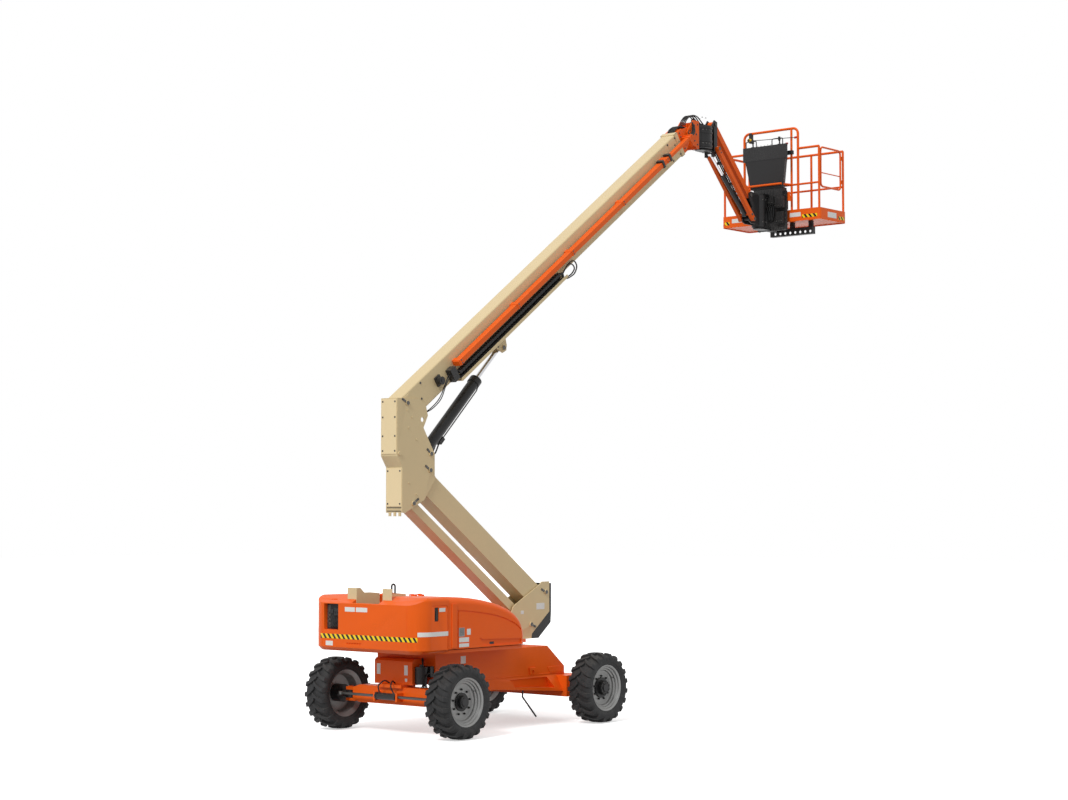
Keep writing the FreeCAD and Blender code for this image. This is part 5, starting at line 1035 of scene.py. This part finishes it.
def boom_details():
    """Bolts, wear-pad covers, front collar, hose drum and tube brackets of the main boom."""
    steel = Batch("boom_bolts", "main_boom", "dark_steel")
    cream = Batch("boom_collars", "main_boom", "cream_paint")
    black = Batch("boom_black", "main_boom", "black_paint")
    for side in (LEFT, RIGHT):
        y = side * BOOM_HALF
        for s, n in ((0.361, 0.067), (0.269, -0.111), (6.80, 0.060), (6.80, -0.200), (7.02, 0.060), (7.02, -0.200)):
            steel.bolt(boom_at(s, n, y), (0, side, 0), 0.020, 0.012)
        for s in (6.965, 7.075):
            for n in (-0.125, -0.025):
                steel.bolt(boom_at(s, n, y), (0, side, 0), 0.016, 0.010)
        cream.laid_box(boom_at, (-0.06, 0.10), (-0.075, 0.075), sorted((y - side * 0.002, y + side * 0.006)))
        steel.rod(boom_at(*LIFT_EYE, side * 0.096), boom_at(*LIFT_EYE, side * 0.100), 0.030, sides=28)
        steel.bolt(boom_at(1.938, -0.373, side * 0.082), (0, side, 0), 0.020, 0.012)
    # The box section's front collar of welded bars
    for above, across in (((0.105, 0.113), (-0.128, 0.128)), ((-0.253, -0.245), (-0.128, 0.128)),
                          ((-0.253, 0.113), (-0.128, -0.120)), ((-0.253, 0.113), (0.120, 0.128))):
        cream.laid_box(boom_at, (7.03, 7.108), above, across)
    # The drum and bracket where the carrier's hoses start
    black.laid_box(boom_at, (0.60, 0.70), (-0.150, -0.020), (-0.150, -0.120))
    black.rod(boom_at(0.641, -0.081, -0.150), boom_at(0.641, -0.081, -0.215), 0.052, sides=28)
    black.rod(boom_at(0.641, -0.081, -0.215), boom_at(0.641, -0.081, -0.222), 0.022, sides=20)
    for s in (6.391, 6.592):
        black.laid_box(boom_at, (s - 0.022, s + 0.022), (-0.105, 0.010), (-0.262, -0.150))
    steel.done(FINE_EDGE)
    cream.done(SOFT_EDGE)
    black.done(SOFT_EDGE)


def hose_tubes():
    """The clamps that hold the two hose tubes along the boom."""
    orange = Batch("tube_clamps", "main_boom", "orange_paint")
    steel = Batch("tube_bolts", "main_boom", "dark_steel")
    for s in (1.04, 2.43, 3.83, 5.23, 6.51):
        orange.laid_box(boom_at, (s - 0.020, s + 0.050), (-0.094, -0.016), (-0.256, -0.120))
        for n in (-0.078, -0.034):
            steel.bolt(boom_at(s + 0.015, n, -0.256), (0, -1, 0), 0.014, 0.008)
    orange.done(ROUND_EDGE)
    steel.done(TINY_EDGE)
    tip = Batch("inner_tube_clamps", "fly_boom", "orange_paint")
    for s in (7.20, 7.27):
        tip.laid_box(boom_at, (s - 0.012, s + 0.012), (-0.086, -0.024), (-0.245, -0.098))
    tip.laid_box(boom_at, (7.125, 7.200), (-0.235, -0.150), (-0.112, -0.104))
    tip.done(SOFT_EDGE)


def lift_cylinder():
    """Gland, pipes, port block, hoses and rod eye of the boom's lift cylinder."""
    steel = Batch("lift_cylinder_glands", "lift_cylinder_barrel", "dark_steel")
    black = Batch("lift_cylinder_block", "lift_cylinder_barrel", "black_paint")
    black.rod(lift_at(1.330, 0, 0), lift_at(1.418, 0, 0), 0.085, sides=40)
    for turn in around(8):
        above, across = 0.062 * math.cos(turn), 0.062 * math.sin(turn)
        steel.rod(lift_at(1.418, above, across), lift_at(1.426, above, across), 0.0065, sides=6)
    black.rod(lift_at(0.070, 0, 0), lift_at(0.130, 0, 0), 0.079, sides=40)
    for y in (-0.026, 0.026):
        steel.tube([lift_at(s, n, y) for s, n in (
            (1.345, -0.078), (1.300, -0.092), (0.420, -0.092), (0.390, -0.080))], 0.0085, smooth=False)
    black.laid_box(lift_at, (0.300, 0.400), (-0.120, -0.068), (-0.048, 0.048))
    for y in (-0.026, 0.026):
        steel.rod(lift_at(0.300, -0.095, y), lift_at(0.278, -0.095, y), 0.012, sides=6)
    hoses = Batch("lift_cylinder_hoses", "lift_cylinder_barrel", "hose_rubber")
    for y in (-0.026, 0.026):
        hoses.tube([lift_at(s, n, y) for s, n in (
            (0.280, -0.095), (0.22, -0.115), (0.15, -0.130), (0.07, -0.105), (0.02, -0.062))], 0.010)
    steel.done(TINY_EDGE)
    black.done(SOFT_EDGE)
    hoses.done(SHARP)
    eye = Batch("lift_rod_eye", "lift_cylinder_rod", "black_paint")
    for side in (LEFT, RIGHT):
        eye.rod(boom_at(*LIFT_EYE, side * 0.030), boom_at(*LIFT_EYE, side * 0.0405), 0.052, sides=32)
    eye.done(FINE_EDGE)


# ---------------------------------------------------------------- boom head and jib
def head():
    """The boom head's pin and bolts, the swing actuator's rings and bolts, and the hoses over the head."""
    steel = Batch("head_bolts", "boom_head", "dark_steel")
    hoses = Batch("head_hoses", "boom_head", "hose_rubber")
    px, pz = HEAD_PIVOT.x, HEAD_PIVOT.z
    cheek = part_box("head_bracket")[1].y
    for side in (LEFT, RIGHT):
        y = side * cheek
        steel.rod((px, y - side * 0.002, pz), (px, y + side * 0.010, pz), 0.038, sides=28)
        for dx, dz in ((0.12, 0.13), (0.20, 0.15), (0.13, -0.10), (0.20, -0.15), (0.17, 0.0)):
            steel.bolt((px + dx, y, pz + dz), (0, side, 0), 0.018, 0.011)
    steel.done(FINE_EDGE)
    actuator = Batch("swing_actuator_rings", "boom_head", "black_paint")
    low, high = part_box("jib_swing_actuator")
    centre = joint_place("jib_swing")
    radius = (high.y - low.y) / 2
    for z in (low.z + 0.03, low.z + 0.10, high.z - 0.10, high.z - 0.03):
        actuator.rod((centre.x, 0, z - 0.012), (centre.x, 0, z + 0.012), radius + 0.008, sides=48)
    actuator.done(SOFT_EDGE)
    caps = Batch("actuator_bolts", "boom_head", "dark_steel")
    # Ten bolts round the half that faces the boom
    for index in range(10):
        turn = math.pi * (0.5 + (index + 0.5) / 10)
        for z in (low.z + 0.065, high.z - 0.065):
            direction = Vector((math.cos(turn), math.sin(turn), 0))
            caps.bolt(Vector((centre.x, 0, z)) + direction * radius, direction, 0.015, 0.010)
    caps.done(TINY_EDGE)
    sheath = Batch("head_sheath", "boom_head", "hose_rubber")
    for index in range(4):
        y = -0.045 + index * 0.030
        hoses.tube([(px + dx, y * spread, pz + dz) for dx, spread, dz in (
            (-0.02, 1.0, 0.12), (0.03, 1.0, 0.21), (0.14, 1.2, 0.285), (0.27, 1.3, 0.29), (0.36, 1.4, 0.235),
            (0.42, 1.5, 0.19))], 0.009)
    hoses.done(SHARP)
    sheath.tube([(px + dx, y, pz + dz) for dx, y, dz in (
        (0.30, 0.03, 0.245), (0.42, 0.05, 0.205), (0.55, 0.03, 0.18), (0.65, 0.0, 0.10))], 0.038, 14)
    sheath.done(SHARP)


def fly_hoses():
    """The hoses that come out of the boom's end, and the bolts of its wear pads."""
    hoses = Batch("fly_hoses", "fly_boom", "hose_rubber")
    for index in range(5):
        y = -0.060 + index * 0.028
        hoses.tube([boom_at(s, n, y) for s, n in ((7.12, 0.098), (7.20, 0.125), (7.32, 0.105), (7.42, 0.030))], 0.011)
    for index in range(3):
        y = -0.215 + index * 0.024
        hoses.tube([boom_at(7.295, -0.056, y), boom_at(7.40, -0.060, y + 0.01), boom_at(7.50, -0.02, y * 0.75),
                    boom_at(7.55, 0.05, y * 0.55)], 0.011)
    hoses.done(SHARP)
    steel = Batch("fly_bolts", "fly_boom", "dark_steel")
    for side in (LEFT, RIGHT):
        for n in (-0.19, -0.10, 0.0, 0.06):
            steel.bolt(boom_at(7.175, n, side * 0.114), (0, side, 0), 0.017, 0.010)
    steel.done(TINY_EDGE)


# Where the jib's pins stop short of their caps, off the machine's middle plane.
UPPER_PIN_END, LOWER_PIN_END = 0.078, 0.144


def pin_cap(batch, x, z, side, inner):
    """The round cap on a pin's end."""
    batch.rod((x, side * inner, z), (x, side * (inner + 0.006), z), 0.027, sides=24)


def jib():
    """Pins, collars, hoses and clamps of the jib, with the caps on its knuckle and the platform's support."""
    steel = Batch("jib_pins", "jib_lower_links", "dark_steel")
    orange = Batch("jib_collars", "jib_lower_links", "orange_paint")
    length = (JIB_END - JIB_PIVOT).length
    for side in (LEFT, RIGHT):
        y = side * 0.136
        for s in (0.0, length):
            steel.bolt(jib_at(s + (0.075 if s == 0 else -0.075), 0, y), (0, side, 0), 0.015, 0.010)
            orange.rod(jib_at(s, 0, y - side * 0.001), jib_at(s, 0, y + side * 0.006), 0.033, sides=28)
        steel.rod(jib_at(length - 0.09, 0, y - side * 0.001), jib_at(length - 0.09, 0, y + side * 0.007), 0.018,
                  sides=20)
    steel.done(TINY_EDGE)
    orange.done(FINE_EDGE)
    hoses = Batch("jib_hoses", "jib_lower_links", "hose_rubber")
    for index in range(4):
        y = -0.045 + index * 0.030
        hoses.tube([jib_at(s, n, y) for s, n in (
            (0.10, 0.075), (0.30, 0.060), (0.70, 0.056), (1.05, 0.060), (1.28, 0.085))], 0.0105)
    hoses.done(SHARP)
    black = Batch("jib_clamps", "jib_lower_links", "black_paint")
    for s in (0.30, 0.70, 1.05):
        black.laid_box(jib_at, (s - 0.018, s + 0.018), (0.040, 0.078), (-0.082, 0.082))
    black.done(SOFT_EDGE)
    knuckle = Batch("knuckle_bolts", "jib_knuckle", "dark_steel")
    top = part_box("jib_knuckle")[1].z
    for side in (LEFT, RIGHT):
        pin_cap(knuckle, JIB_UPPER.x, JIB_UPPER.z, side, UPPER_PIN_END)
        pin_cap(knuckle, JIB_PIVOT.x, JIB_PIVOT.z, side, LOWER_PIN_END)
    for y in (-0.055, 0.055):
        for x in (-0.045, 0.045):
            knuckle.bolt((joint_place("jib_swing").x + x, y, top), (0, 0, 1), 0.016, 0.010)
    knuckle.done(TINY_EDGE)
    caps = Batch("support_pins", "platform_support", "dark_steel")
    for side in (LEFT, RIGHT):
        pin_cap(caps, JIB_END.x, JIB_END.z, side, LOWER_PIN_END)
        pin_cap(caps, JIB_END.x, JIB_END.z + 0.37, side, UPPER_PIN_END)
    low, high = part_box("platform_support")
    centre = joint_place("platform_rotate")
    for turn in around(8, 0.5):
        direction = Vector((math.cos(turn), math.sin(turn), 0))
        if direction.x > -0.7:
            for z in (low.z + 0.08, high.z - 0.10):
                caps.bolt(Vector((centre.x, 0, z)) + direction * 0.110, direction, 0.014, 0.009)
    caps.done(TINY_EDGE)


# ---------------------------------------------------------------- platform
FLOOR_LOW, FLOOR_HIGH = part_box("platform_floor")
RAIL_LOW, RAIL_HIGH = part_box("platform_rails")
NEAR_X, FAR_X = FLOOR_LOW.x, FLOOR_HIGH.x
PLATFORM_HALF = FLOOR_HIGH.y
# The pitch of the floor's raised tread, and how far the mount's face stands before the platform.
TREAD_STEP = 0.085
MOUNT_DEPTH = 0.110
DASH_HEIGHT = (7.293, 7.345)
NEAR_RAIL_X = RAIL_LOW.x + 0.020
FAR_RAIL_X = RAIL_HIGH.x - 0.019
SIDE_RAIL_Y = RAIL_HIGH.y - 0.019


def platform_signs():
    """Hazard dashes and blank labels round the platform's toe board."""
    dashes = Batch("platform_dashes", "platform", "hazard_stripe")
    white = Batch("platform_labels", "platform", "label_white")
    x0, x1 = NEAR_X - LABEL_THIN, NEAR_X + LABEL_SUNK
    for batch, y0, y1, z0, z1 in ((dashes, 0.77, 0.862, *DASH_HEIGHT), (dashes, -0.862, -0.59, *DASH_HEIGHT),
                                  (white, 0.537, 0.725, 7.320, 7.385), (white, -0.564, -0.367, 7.320, 7.385)):
        batch.box((x0, y0, z0), (x1, y1, z1))
    inner, outer = PLATFORM_HALF - LABEL_SUNK, PLATFORM_HALF + LABEL_THIN
    for side in (LEFT, RIGHT):
        white.side_box(side, (NEAR_X + 0.22, NEAR_X + 0.47), inner, outer, (7.300, 7.385))
        dashes.side_box(side, (NEAR_X + 0.53, NEAR_X + 0.70), inner, outer, DASH_HEIGHT)
    dashes.done(SHARP)
    white.done(SHARP)


def platform_frame():
    """Gussets, bolts and rail feet of the platform, the bar before the console and the floor's tread."""
    orange = Batch("platform_gussets", "platform", "orange_paint")
    steel = Batch("platform_bolts", "platform", "dark_steel")
    for y0, y1, z0, z1 in ((0.34, 0.48, 7.74, 7.88), (-0.44, -0.26, 7.56, 7.71)):
        orange.plate([(y0, z0), (y1, z0 + 0.02), (y1 - 0.02, z1), (y0 + 0.03, z1)], (NEAR_X - 0.075, 0, 0),
                     (0, 1, 0), (0, 0, 1), 0.010)
    for z in (7.12, 7.30, 7.50, 7.66):
        for y in (-0.34, 0.12):
            steel.bolt((NEAR_X - MOUNT_DEPTH, y, z), REAR, 0.018, 0.011)
    # Feet of the rails
    feet = [(NEAR_RAIL_X, y) for y in (SIDE_RAIL_Y, 0.5, -0.38, -0.5, -SIDE_RAIL_Y)]
    feet += [(FAR_RAIL_X, y) for y in (SIDE_RAIL_Y, 0.3, -0.3, -SIDE_RAIL_Y)]
    for x, y in feet:
        orange.rod((x, y, FLOOR_LOW.z + 0.035), (x, y, FLOOR_LOW.z + 0.047), 0.030, sides=20)
    # The bar that passes before the console
    bar_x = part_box("control_console")[0].x - 0.006
    orange.tube([(x, y, 7.830) for x, y in ((NEAR_RAIL_X, 0.500), (bar_x, 0.390), (bar_x, -0.330),
                                            (NEAR_RAIL_X, -0.380))], 0.017, 14, smooth=False)
    orange.done(SOFT_EDGE)
    steel.done(FINE_EDGE)
    plate = Batch("floor_tread", "platform", "dark_steel")
    z = FLOOR_LOW.z + 0.0352
    for i in range(int((FAR_X - NEAR_X - 0.14) / TREAD_STEP)):
        for j in range(int((2 * PLATFORM_HALF - 0.16) / TREAD_STEP)):
            x, y = NEAR_X + 0.10 + i * TREAD_STEP, -PLATFORM_HALF + 0.10 + j * TREAD_STEP
            turn = Matrix.Rotation(math.radians(45 if (i + j) % 2 else -45), 3, "Z")
            plate.box((x - 0.016, y - 0.004, z - 0.001), (x + 0.016, y + 0.004, z + 0.0015), turn)
    plate.done(SHARP)


def console():
    """Levers, toggles, stop button and guards on the console, the sensor on the hoop and the console's hoses."""
    panel = Batch("console_panel", "platform", "black_plastic")
    red = Batch("console_stop", "platform", "knob_red")
    steel = Batch("console_metal", "platform", "bare_steel")
    yellow = Batch("console_sensor", "platform", "label_yellow")
    white = Batch("console_labels", "platform", "label_white")
    low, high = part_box("control_console")
    top, x = high.z, low.x + 0.10
    for y in (0.245, -0.25):
        panel.rod((x, y, top - 0.002), (x, y, top + 0.022), 0.045, 0.032, 24)
        panel.rod((x, y, top + 0.02), (x - 0.008, y, top + 0.085), 0.011, sides=14)
        panel.rod((x - 0.008, y, top + 0.075), (x - 0.012, y, top + 0.135), 0.021, 0.017, 20)
    for index in range(5):
        y = 0.15 - index * 0.062
        panel.rod((x - 0.02, y, top), (x - 0.02, y, top + 0.008), 0.013, sides=6)
        steel.rod((x - 0.02, y, top + 0.006), (x - 0.012, y, top + 0.034), 0.0045, 0.006, 10)
    red.rod((x + 0.02, -0.37, top - 0.002), (x + 0.02, -0.37, top + 0.018), 0.014, sides=20)
    red.rod((x + 0.02, -0.37, top + 0.014), (x + 0.02, -0.37, top + 0.030), 0.024, 0.021, 28)
    white.box((low.x + 0.012, -0.38, top - 0.0004), (low.x + 0.042, 0.32, top + 0.0012))
    # Guards over the levers
    for y0, y1 in ((0.335, 0.145), (-0.150, -0.345)):
        panel.tube([(x - out, y, top + rise) for out, y, rise in (
            (0.06, y0, 0.0), (0.062, y0, 0.075), (0.062, y0 - 0.02, 0.098), (0.062, y1 + 0.02, 0.098),
            (0.062, y1, 0.075), (0.06, y1, 0.0))], 0.008)
    # A round sensor on the hoop with the cord that runs from it
    hoop_x, eye_y, eye_z = NEAR_RAIL_X, 0.37, 8.60
    yellow.rod((hoop_x - 0.03, eye_y, eye_z), (hoop_x - 0.075, eye_y, eye_z), 0.030, 0.028, 24)
    panel.rod((hoop_x - 0.02, eye_y, eye_z), (hoop_x - 0.032, eye_y, eye_z), 0.036, sides=24)
    panel.box((hoop_x - 0.030, 0.345, 8.56), (hoop_x + 0.02, 0.395, 8.72))
    panel.rod((hoop_x - 0.075, eye_y, eye_z), (hoop_x - 0.084, eye_y, eye_z), 0.020, sides=20)
    red.rod((hoop_x - 0.04, -0.465, 8.555), (hoop_x - 0.04, -0.500, 8.560), 0.018, 0.015, 20)
    panel.tube([(hoop_x - out, y, z) for out, y, z in (
        (0.045, 0.34, 8.595), (0.045, 0.10, 8.582), (0.045, -0.12, 8.574), (0.045, -0.32, 8.566),
        (0.04, -0.47, 8.558))], 0.0055, 8)
    panel.done(SOFT_EDGE)
    red.done(FINE_EDGE)
    steel.done(SHARP)
    yellow.done(FINE_EDGE)
    white.done(SHARP)
    hoses = Batch("console_hoses", "platform", "hose_rubber")
    for index in range(6):
        y = 0.10 - index * 0.055
        hoses.tube([(NEAR_X - 0.15, y, 7.79), (NEAR_X - 0.165, y + 0.01, 7.70), (NEAR_X - 0.15, y * 0.8, 7.58),
                    (NEAR_X - 0.135, y * 0.6 - 0.05, 7.42), (NEAR_X - 0.14, y * 0.5 - 0.05, 7.28)], 0.010)
    hoses.done(SHARP)


def mount_gear():
    """Valve blocks on the platform's mount, and the skirt and side panel under the console."""
    black = Batch("mount_valves", "platform", "black_paint")
    steel = Batch("mount_unions", "platform", "dark_steel")
    face = NEAR_X - MOUNT_DEPTH
    for y0, y1, z0, z1, depth in ((-0.36, -0.20, 7.46, 7.64, 0.07), (-0.17, -0.02, 7.52, 7.66, 0.055),
                                  (-0.35, -0.22, 7.22, 7.40, 0.060), (0.02, 0.14, 7.40, 7.60, 0.050)):
        black.box((face - depth, y0, z0), (face + 0.001, y1, z1))
        for index in range(3):
            y = y0 + (index + 0.5) * (y1 - y0) / 3
            steel.rod((face - depth, y, z0 + 0.03), (face - depth - 0.022, y, z0 + 0.03), 0.009, sides=6)
    # The skirt between the console and the mount, and the side panel below it
    console_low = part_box("control_console")[0]
    black.box((console_low.x + 0.035, -0.330, 7.640), (NEAR_X - 0.030, 0.200, console_low.z + 0.004))
    black.box((NEAR_X - 0.060, -0.345, 7.440), (NEAR_X - 0.012, -0.120, 7.680))
    black.done(ROUND_EDGE)
    steel.done(HAIR_EDGE)


def gate():
    """The gate's latch, catch and pull bar."""
    latch = Batch("gate_latch", "platform_gate", "orange_paint")
    low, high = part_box("platform_gate")
    x, y = low.x + 0.015, (low.y + high.y) / 2
    latch.box((x - 0.028, y - 0.014, 8.16), (x + 0.010, y + 0.014, 8.24))
    latch.tube([(along, y, 7.98) for along in (x, low.x + 0.10, high.x - 0.12, high.x - 0.045)], 0.009, smooth=False)
    latch.done(SOFT_EDGE)
    steel = Batch("gate_catch", "platform_gate", "bare_steel")
    steel.rod((x - 0.030, y, 8.20), (x - 0.040, y, 8.20), 0.008, sides=12)
    steel.done(SHARP)


# ---------------------------------------------------------------- the stage
WHITE = (1, 1, 1, 1)
WORLD_LIGHT, KEY_LIGHT = 0.70, 1.7
# The floor's grey for the light it throws up, its grey where it is seen, and how far its seen shade is lifted.
FLOOR_GREY, FLOOR_SEEN, FLOOR_LIFT = (0.33, 0.33, 0.33, 1), (0.9, 0.9, 0.9, 1), 0.50
CAMERA_PLACE = (-20.637, -18.414, 2.804)
CAMERA_TILT, CAMERA_HEADING, CAMERA_LENS = 92.921, -49.979, 71.56


def seen_rays(tree):
    """One where the ray comes from the camera, a mirror-like surface or glass, else nought."""
    rays = tree.nodes.new("ShaderNodeLightPath")
    seen = maths(tree, "MAXIMUM", rays.outputs["Is Camera Ray"], rays.outputs["Is Glossy Ray"])
    return maths(tree, "MAXIMUM", seen, rays.outputs["Is Transmission Ray"])


def shown_white(tree, shader_socket, end_socket):
    """Lets the camera and mirror-like rays meet plain white while all other light meets the given shader."""
    white = tree.nodes.new("ShaderNodeEmission")
    white.inputs["Color"].default_value = WHITE
    white.inputs["Strength"].default_value = 1.0
    pick = tree.nodes.new("ShaderNodeMixShader")
    tree.links.new(seen_rays(tree), pick.inputs[0])
    tree.links.new(shader_socket, pick.inputs[1])
    tree.links.new(white.outputs[0], pick.inputs[2])
    tree.links.new(pick.outputs[0], end_socket)


def set_stage():
    """Pale floor, soft world light, one soft key lamp and the camera."""
    scene = bpy.context.scene
    scene.view_settings.view_transform = "Standard"
    bpy.ops.mesh.primitive_plane_add(size=160, location=(0, 0, 0))
    floor = bpy.context.object
    floor.name = "studio_floor"
    material, tree, principled = shader("studio floor")
    principled.inputs["Roughness"].default_value = 1.0
    principled.inputs["Specular IOR Level"].default_value = 0.0
    # The camera sees the floor's own shade lifted to white, so that only the shadow stays darker
    principled.inputs["Emission Color"].default_value = WHITE
    seen = seen_rays(tree)
    tree.links.new(maths(tree, "MULTIPLY", seen, FLOOR_LIFT), principled.inputs["Emission Strength"])
    shade = mix_colour(tree, "MIX", seen, FLOOR_GREY, FLOOR_SEEN)
    tree.links.new(shade, principled.inputs["Base Color"])
    floor.data.materials.append(material)
    world = bpy.data.worlds.new("studio")
    scene.world = world
    world.use_nodes = True
    background = world.node_tree.nodes["Background"]
    background.inputs["Color"].default_value = WHITE
    background.inputs["Strength"].default_value = WORLD_LIGHT
    shown_white(world.node_tree, background.outputs[0], world.node_tree.nodes["World Output"].inputs["Surface"])
    sun = bpy.data.lights.new("key", "SUN")
    sun.energy = KEY_LIGHT
    sun.angle = math.radians(12)
    key = bpy.data.objects.new("key", sun)
    key.rotation_euler = (math.radians(48), 0, math.radians(-78))
    scene.collection.objects.link(key)
    data = bpy.data.cameras.new("camera")
    data.lens = CAMERA_LENS
    data.sensor_width = 36.0
    data.clip_end = 300.0
    camera = bpy.data.objects.new("camera", data)
    camera.location = CAMERA_PLACE
    camera.rotation_euler = (math.radians(CAMERA_TILT), 0, math.radians(CAMERA_HEADING))
    scene.collection.objects.link(camera)
    scene.camera = camera


# ---------------------------------------------------------------- carried-over nodes
SOFTENED = {
    "orange_paint": ["lashing_eyes", "steer_axle", "drive_axle", "turntable_deck", "fly_boom", "hose_tube_outer",
                     "hose_tube_inner", "head_bracket", "jib_lower_links", "jib_upper_link", "platform_floor"],
    "cream_paint": ["riser_base_bracket", "well_plate_left", "well_plate_right", "riser_upper_link",
                    "riser_lower_link", "main_boom", "carrier_tray"],
    "black_paint": ["swing_bearing", "end_guard", "jib_swing_actuator", "jib_knuckle", "platform_support",
                    "platform_mount", "lift_cylinder_barrel", "jib_cylinder_barrel", "steering_cylinder",
                    "steering_knuckle_left", "steering_knuckle_right", "carrier_anchor", "valve_block",
                    "lifting_eye", "generator_engine"],
}
REPAINTED = {
    "black_plastic": ["hydraulic_canister", "battery_pack", "control_console"],
    "orange_paint": ["platform_rails", "platform_gate"],
    "rod_chrome": ["lift_cylinder_rod", "jib_cylinder_rod"],
    "dark_steel": ["steering_rod"],
}


def dress_nodes():
    """Gives every node that no other piece stands for its softened edges or its paint."""
    for material, nodes in SOFTENED.items():
        for node in nodes:
            dressed(node, material)
    for material, nodes in REPAINTED.items():
        for node in nodes:
            repaint(node, material)


set_stage()
dress_nodes()
wheels()
tail()
hoods()
chassis()
riser_bracket()
riser_links()
upright()
cable_carrier()
boom_details()
hose_tubes()
lift_cylinder()
head()
fly_hoses()
jib()
platform_signs()
platform_frame()
console()
mount_gear()
gate()
